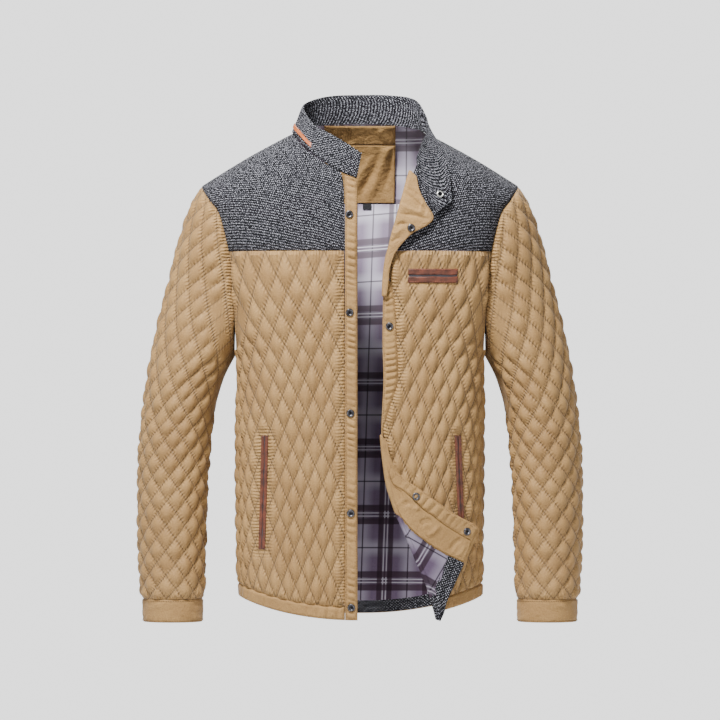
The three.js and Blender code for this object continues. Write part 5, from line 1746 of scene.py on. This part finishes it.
def snap(name, at, a, b, lift, flip=1, profile=SNAP_PROFILE, metal=METAL, body=True):
    a, b = np.array(float(a)), np.array(float(b))
    place, normal = at(a, b), normal_at(at, a, b, flip, 0.05)
    side = unit(np.cross(normal, [0.0, 0.0, 1.0]))
    up = np.cross(side, normal)
    centre = place + normal * lift
    centre = drape(centre) if body else centre
    turn = np.linspace(0, 2 * np.pi, SNAP_SEGMENTS, endpoint=False)
    around = np.cos(turn)[:, None] * side + np.sin(turn)[:, None] * up
    points = np.concatenate([centre + around * radius + normal * height for radius, height in profile])
    rings = np.arange(len(profile) * SNAP_SEGMENTS).reshape(len(profile), SNAP_SEGMENTS)
    after = np.roll(rings, -1, axis=1)
    faces = np.stack([rings[:-1], rings[1:], after[1:], after[:-1]], -1).reshape(-1, 4)
    # The middle rings take the near-black metal: painted shade in the snap's hollow.
    which = np.repeat(np.arange(len(profile) - 1) < DARK_RINGS - 1, SNAP_SEGMENTS).astype(int)
    piece = mesh_object(name + "_metal", points, faces, which, [metal, SNAP_HOLLOW_SHADE], {}, 50.0)
    dress(piece, name)


SNAP_SEAT = 0.3  # the ring stands on a press of cloth this high
ON_BAND = BAND_CLOTH + SNAP_SEAT
for count, (x, z) in enumerate(PLACKET_SNAPS):
    snap(f"snap_placket_{count + 1}", body_at(-1), x, z, ON_BAND)
snap("snap_edge_left", body_at(-1), *EDGE_SNAP, ON_BAND)
lapel_face = lambda x, z: np.stack([x, body_y(-1, x, z) - 2 * SHELL - 2 * FOLD_RADIUS, z], -1)
snap("snap_lapel", lapel_face, 72, -129, SNAP_SEAT)
snap("snap_corner_1", corner_face, 78.5, -507, PLAIN_CLOTH + SNAP_SEAT)
snap("snap_corner_2", corner_face, 151, -557, PLAIN_CLOTH + SNAP_SEAT)
snap("snap_collar", on_collar, 15.45, 5, 0.4, 1, OPEN_RING_PROFILE, NICKEL, False)


# %% [markdown]
# ## Stitches
# Lockstitch is a row of short threads, each dipping into the cloth at both ends. Every stitch here is
# a small six-sided rod of thread with thinner ends, half sunk in the cloth. One comes every 3.5 mm.
# %% Rows of stitches
STITCH_MM = 2.5
STITCH_STEP_MM = 3.5
THREAD_RADIUS = 0.42
THREAD_LIFT = 0.15
FACES_A_STITCH = 22
STITCH_RINGS = [(0.0, 0.35), (0.22, 1.0), (0.78, 1.0), (1.0, 0.35)]
STITCH_SIDES = 6


def stitch_row(paths):
    """Points and faces of the stitches along paths, each a pair of points and normals."""
    points, faces, total = [], [], 0
    turn = np.linspace(0, 2 * np.pi, STITCH_SIDES, endpoint=False)
    for path, normals in paths:
        length = np.concatenate([[0], np.cumsum(np.linalg.norm(np.diff(path, axis=0), axis=-1))])
        starts = np.arange(0.6, length[-1] - STITCH_MM, STITCH_STEP_MM)
        at = lambda s, values: np.stack([np.interp(s, length, values[:, k]) for k in range(3)], -1)
        forward = unit(at(starts + STITCH_MM, path) - at(starts, path))
        up = unit(at(starts + STITCH_MM / 2, normals))
        side = np.cross(forward, up)
        rings = []
        for share, size in STITCH_RINGS:
            middle = at(starts + STITCH_MM * share, path) - up * THREAD_RADIUS * 1.1 * (1 - size)
            spread = np.cos(turn)[:, None, None] * side + np.sin(turn)[:, None, None] * up
            rings.append(middle + THREAD_RADIUS * size * spread)
        block = np.stack(rings).transpose(2, 0, 1, 3)
        count = len(starts)
        points.append(block.reshape(-1, 3))
        index = np.arange(len(STITCH_RINGS) * STITCH_SIDES).reshape(len(STITCH_RINGS), STITCH_SIDES)
        after = np.roll(index, -1, axis=1)
        sides = np.stack([index[:-1], after[:-1], after[1:], index[1:]], -1).reshape(-1, 4)
        first, last = index[0], index[-1]
        caps = [[first[0], first[5], first[4], first[3]], [first[0], first[3], first[2], first[1]]]
        caps += [[last[0], last[1], last[2], last[3]], [last[0], last[3], last[4], last[5]]]
        shape = np.concatenate([sides, np.array(caps)])
        offsets = total + np.arange(count) * index.size
        faces.append((shape[None] + offsets[:, None, None]).reshape(-1, 4))
        total += count * index.size
    return np.concatenate(points), np.concatenate(faces)


def seam_path(at, a, b, lift, flip=1, reach=0.5, body=True):
    normals = normal_at(at, a, b, flip, reach)
    points = at(a, b) + normals * (lift + THREAD_LIFT)
    return (drape(points) if body else points), normals


def sew(name, thread, paths):
    points, faces = stitch_row(paths)
    piece = mesh_object(name, points, faces, np.zeros(len(faces)), [thread], {}, 60.0)
    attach(piece, "root")
    print(name, len(faces) // FACES_A_STITCH, "stitches")


FROM_EDGE = 1.9
front_at = body_at(-1)
downwards = np.linspace(0, 1, 700)
rows_sewn = []
for x in (-PLACKET_SEAM_X + FROM_EDGE, -PLACKET_EDGE_X - FROM_EDGE):
    top_z = float(read(NECK_SEAM_RIGHT, "z", x)) - 3
    z = top_z + (float(hem_z(x)) + 3 - top_z) * downwards
    rows_sewn.append(seam_path(front_at, np.full_like(z, x), z, BAND_CLOTH))
z = -206 - (409 - 206) * downwards[::3]
rows_sewn.append(seam_path(front_at, read(PLACKET_LEFT, "edge", z) + FROM_EDGE, z, BAND_CLOTH))
rows_sewn.append(seam_path(front_at, read(PLACKET_LEFT, "seam", z) - SEAM - FROM_EDGE, z, BAND_CLOTH))
sew("placket_stitches", SHELL_THREAD, rows_sewn)

rows_sewn = []
for side, start, end in (
    (-1, -HEM_LIMIT + 2, -PLACKET_SEAM_X - 3),
    (-1, LEFT_HEM_START + 3, HEM_LIMIT - 2),
    (1, -BACK_LIMIT + 2, BACK_LIMIT - 2),
):
    a = np.linspace(start, end, 500)
    x = on_body(side, a, HEM_Z + HEM_SIDE_RISE)[..., 0]
    for up in (FROM_EDGE, HEM_BAND - FROM_EDGE):
        rows_sewn.append(seam_path(arc_at(side), a, hem_z(x) + up, BAND_CLOTH, -side))
sew("hem_stitches", SHELL_THREAD, rows_sewn)

rows_sewn = []
for hand in (1, -1):
    for run in (LAST_RUN + 0.14, LAST_RUN + 1.88):
        high = float(sleeve_level(1, np.array(run))[-1]) - 2
        a = np.linspace(-high, high, 400)
        arm_at = lambda p, q: handed(on_sleeve(p, q), hand)
        flip = -hand
        rows_sewn.append(seam_path(arm_at, a, np.full_like(a, run), SHELL + 0.35, flip, 0.2, False))
sew("cuff_stitches", SHELL_THREAD, rows_sewn)

rows_sewn = []
for side, from_x, to_x in ((-1, -180, -24), (-1, 46, 180), (1, -180, 180)):
    x = np.linspace(from_x, to_x, 500)
    for up in YOKE_STITCH_UP:
        b = yoke_b(x, np.full_like(x, YOKE_Z + up))
        shoulder = lambda p, q: on_yoke(side, p, q)
        rows_sewn.append(seam_path(shoulder, x, b, YOKE_CLOTH - YOKE_GROOVE * 0.7, -side))
sew("yoke_stitches", LINING_THREAD, rows_sewn)

levels = np.linspace(0.1, 8.8, 300)
rows_sewn = [seam_path(turned(LAPEL, on_chest), np.full_like(levels, 96.0), levels, SHELL, -1, 0.05)]
corner_levels = np.linspace(0.1, 7.9, 400)
sewn = levels_table(CORNER_PIECES["corner_placket"])
for share in (0.12, 0.88):
    left_x, left_z, right_x, right_z = (read(sewn, c, corner_levels) for c in list(sewn)[1:])
    x, z = left_x + (right_x - left_x) * share, left_z + (right_z - left_z) * share
    rows_sewn.append(seam_path(corner_face, x, z, PLAIN_CLOTH))
sew("turned_edge_stitches", SHELL_THREAD, rows_sewn)

rows_sewn = []
front_arc = arc_at(-1)
middle_z = (CHEST_POCKET["top_z"] + CHEST_POCKET["bottom_z"]) / 2
end_radius = (CHEST_POCKET["top_z"] - CHEST_POCKET["bottom_z"]) / 2 + 0.5
for end_x, way in ((CHEST_POCKET["from_x"], -1), (CHEST_POCKET["to_x"], 1)):
    turn = np.linspace(-np.pi / 2, np.pi / 2, 60)
    x = end_x + way * (2.5 + end_radius * np.cos(turn))
    z = middle_z + end_radius * np.sin(turn)
    rows_sewn.append(seam_path(front_arc, along_at_x(-1, x, z), z, SHELL))
turn = np.linspace(0, np.pi, 90)
x = (CHEST_POCKET["from_x"] + CHEST_POCKET["to_x"]) / 2 - 36 * np.cos(turn)
z = CHEST_POCKET["bottom_z"] - 1.5 - 6.5 * np.sin(turn)
rows_sewn.append(seam_path(front_arc, along_at_x(-1, x, z), z, SHELL))
sew("chest_pocket_stitches", SHELL_THREAD, rows_sewn)

rows_sewn = []
welt_lift = WELT_LIFT + LEATHER
for front, pocket in HAND_POCKETS.items():
    hand = 1 if front == "front_left" else -1
    z = np.linspace(pocket["top"][1] - 2, pocket["bottom"][1] + 2, 300)
    for away in (-WELT_WIDTH + 0.7, WELT_WIDTH - 0.7):
        a = hand * (pocket_along(pocket, z) + away)
        rows_sewn.append(seam_path(front_arc, a, z, welt_lift))
for z_row in (CHEST_POCKET["top_z"] - 1.3, CHEST_POCKET["bottom_z"] + 1.3):
    x = np.linspace(CHEST_POCKET["from_x"] + 1.5, CHEST_POCKET["to_x"] - 1.5, 100)
    z = np.full_like(x, z_row)
    rows_sewn.append(seam_path(front_arc, along_at_x(-1, x, z), z, welt_lift))
sew("welt_stitches", LEATHER_THREAD, rows_sewn)


# %% [markdown]
# ## Camera, light and floor
# The jacket is seen straight from the front through a long lens, in soft light from above the camera. Two
# weaker lights fill the shadows from the right and lift the shoulders and the back.
# %% Studio
CAMERA_Y = -8.0
CAMERA_Z = -0.315
FRAME_WIDTH = 1.0296
SENSOR_MM = 36.0
camera_data = bpy.data.cameras.new("camera")
camera_data.sensor_width = SENSOR_MM
camera_data.lens = SENSOR_MM * -CAMERA_Y / FRAME_WIDTH
camera_data.clip_end = 100
camera = bpy.data.objects.new("camera", camera_data)
camera.location = (0, CAMERA_Y, CAMERA_Z)
camera.rotation_euler = (np.radians(90), 0, 0)
bpy.context.scene.collection.objects.link(camera)
bpy.context.scene.camera = camera


def soft_light(name, place, target, size, watts):
    data = bpy.data.lights.new(name, "AREA")
    data.shape = "SQUARE"
    data.size = size
    data.energy = watts
    light = bpy.data.objects.new(name, data)
    light.location = place
    aim = np.array(target) - np.array(place)
    light.rotation_euler = Vector(aim).to_track_quat("-Z", "Y").to_euler()
    bpy.context.scene.collection.objects.link(light)


soft_light("key", place=(-0.5, -1.2, 1.5), target=(0, 0, -0.15), size=0.4, watts=150)
soft_light("fill", place=(1.6, -2.6, 1.0), target=(0, 0, -0.35), size=1.6, watts=8)
soft_light("back", place=(0.4, 2.2, 1.9), target=(0, 0, -0.3), size=1.2, watts=90)

# %% [markdown]
# The walls of the studio are bright around eye level and dim above and below, so that the light has a
# direction. The floor is a plain disc of pale paper, well below the hem.
# %% Walls and floor
SKY_FADE = (0.075, 0.19)  # the height of a direction, where the wall starts to dim and is dim
GROUND_FADE = (-0.28, -0.42)
SKY_STRENGTH = 2.85
FLOOR_Z = -0.905
FLOOR_RADIUS = 0.95
world = bpy.data.worlds.new("pale_studio")
world.use_nodes = True
sky = world.node_tree
direction = node(sky, "ShaderNodeTexCoord").outputs["Generated"]
height = node(sky, "ShaderNodeSeparateXYZ", {0: direction}).outputs[2]
dim = maths(sky, "MAXIMUM", ramp(sky, height, *SKY_FADE), ramp(sky, height, *GROUND_FADE))
sky.links.new(mixed(sky, dim, linear("#DCDCDC"), linear("#2A2A2C")), sky.nodes["Background"].inputs["Color"])
sky.nodes["Background"].inputs["Strength"].default_value = SKY_STRENGTH
bpy.context.scene.world = world

work = bmesh.new()
bmesh.ops.create_circle(work, cap_ends=True, radius=FLOOR_RADIUS, segments=96)
floor_mesh = bpy.data.meshes.new("floor")
work.to_mesh(floor_mesh)
work.free()
floor = bpy.data.objects.new("floor", floor_mesh)
floor.location.z = FLOOR_Z
floor_material, floor_tree, floor_shader = start_material("matt_paper", 0.9)
floor_place = node(floor_tree, "ShaderNodeTexCoord").outputs["Object"]
floor_tone = mixed(floor_tree, noise(floor_tree, floor_place, 400), linear("#DADADA"), linear("#DEDEDE"))
floor_tree.links.new(floor_tone, floor_shader.inputs["Base Color"])
floor_mesh.materials.append(floor_material)
bpy.context.scene.collection.objects.link(floor)
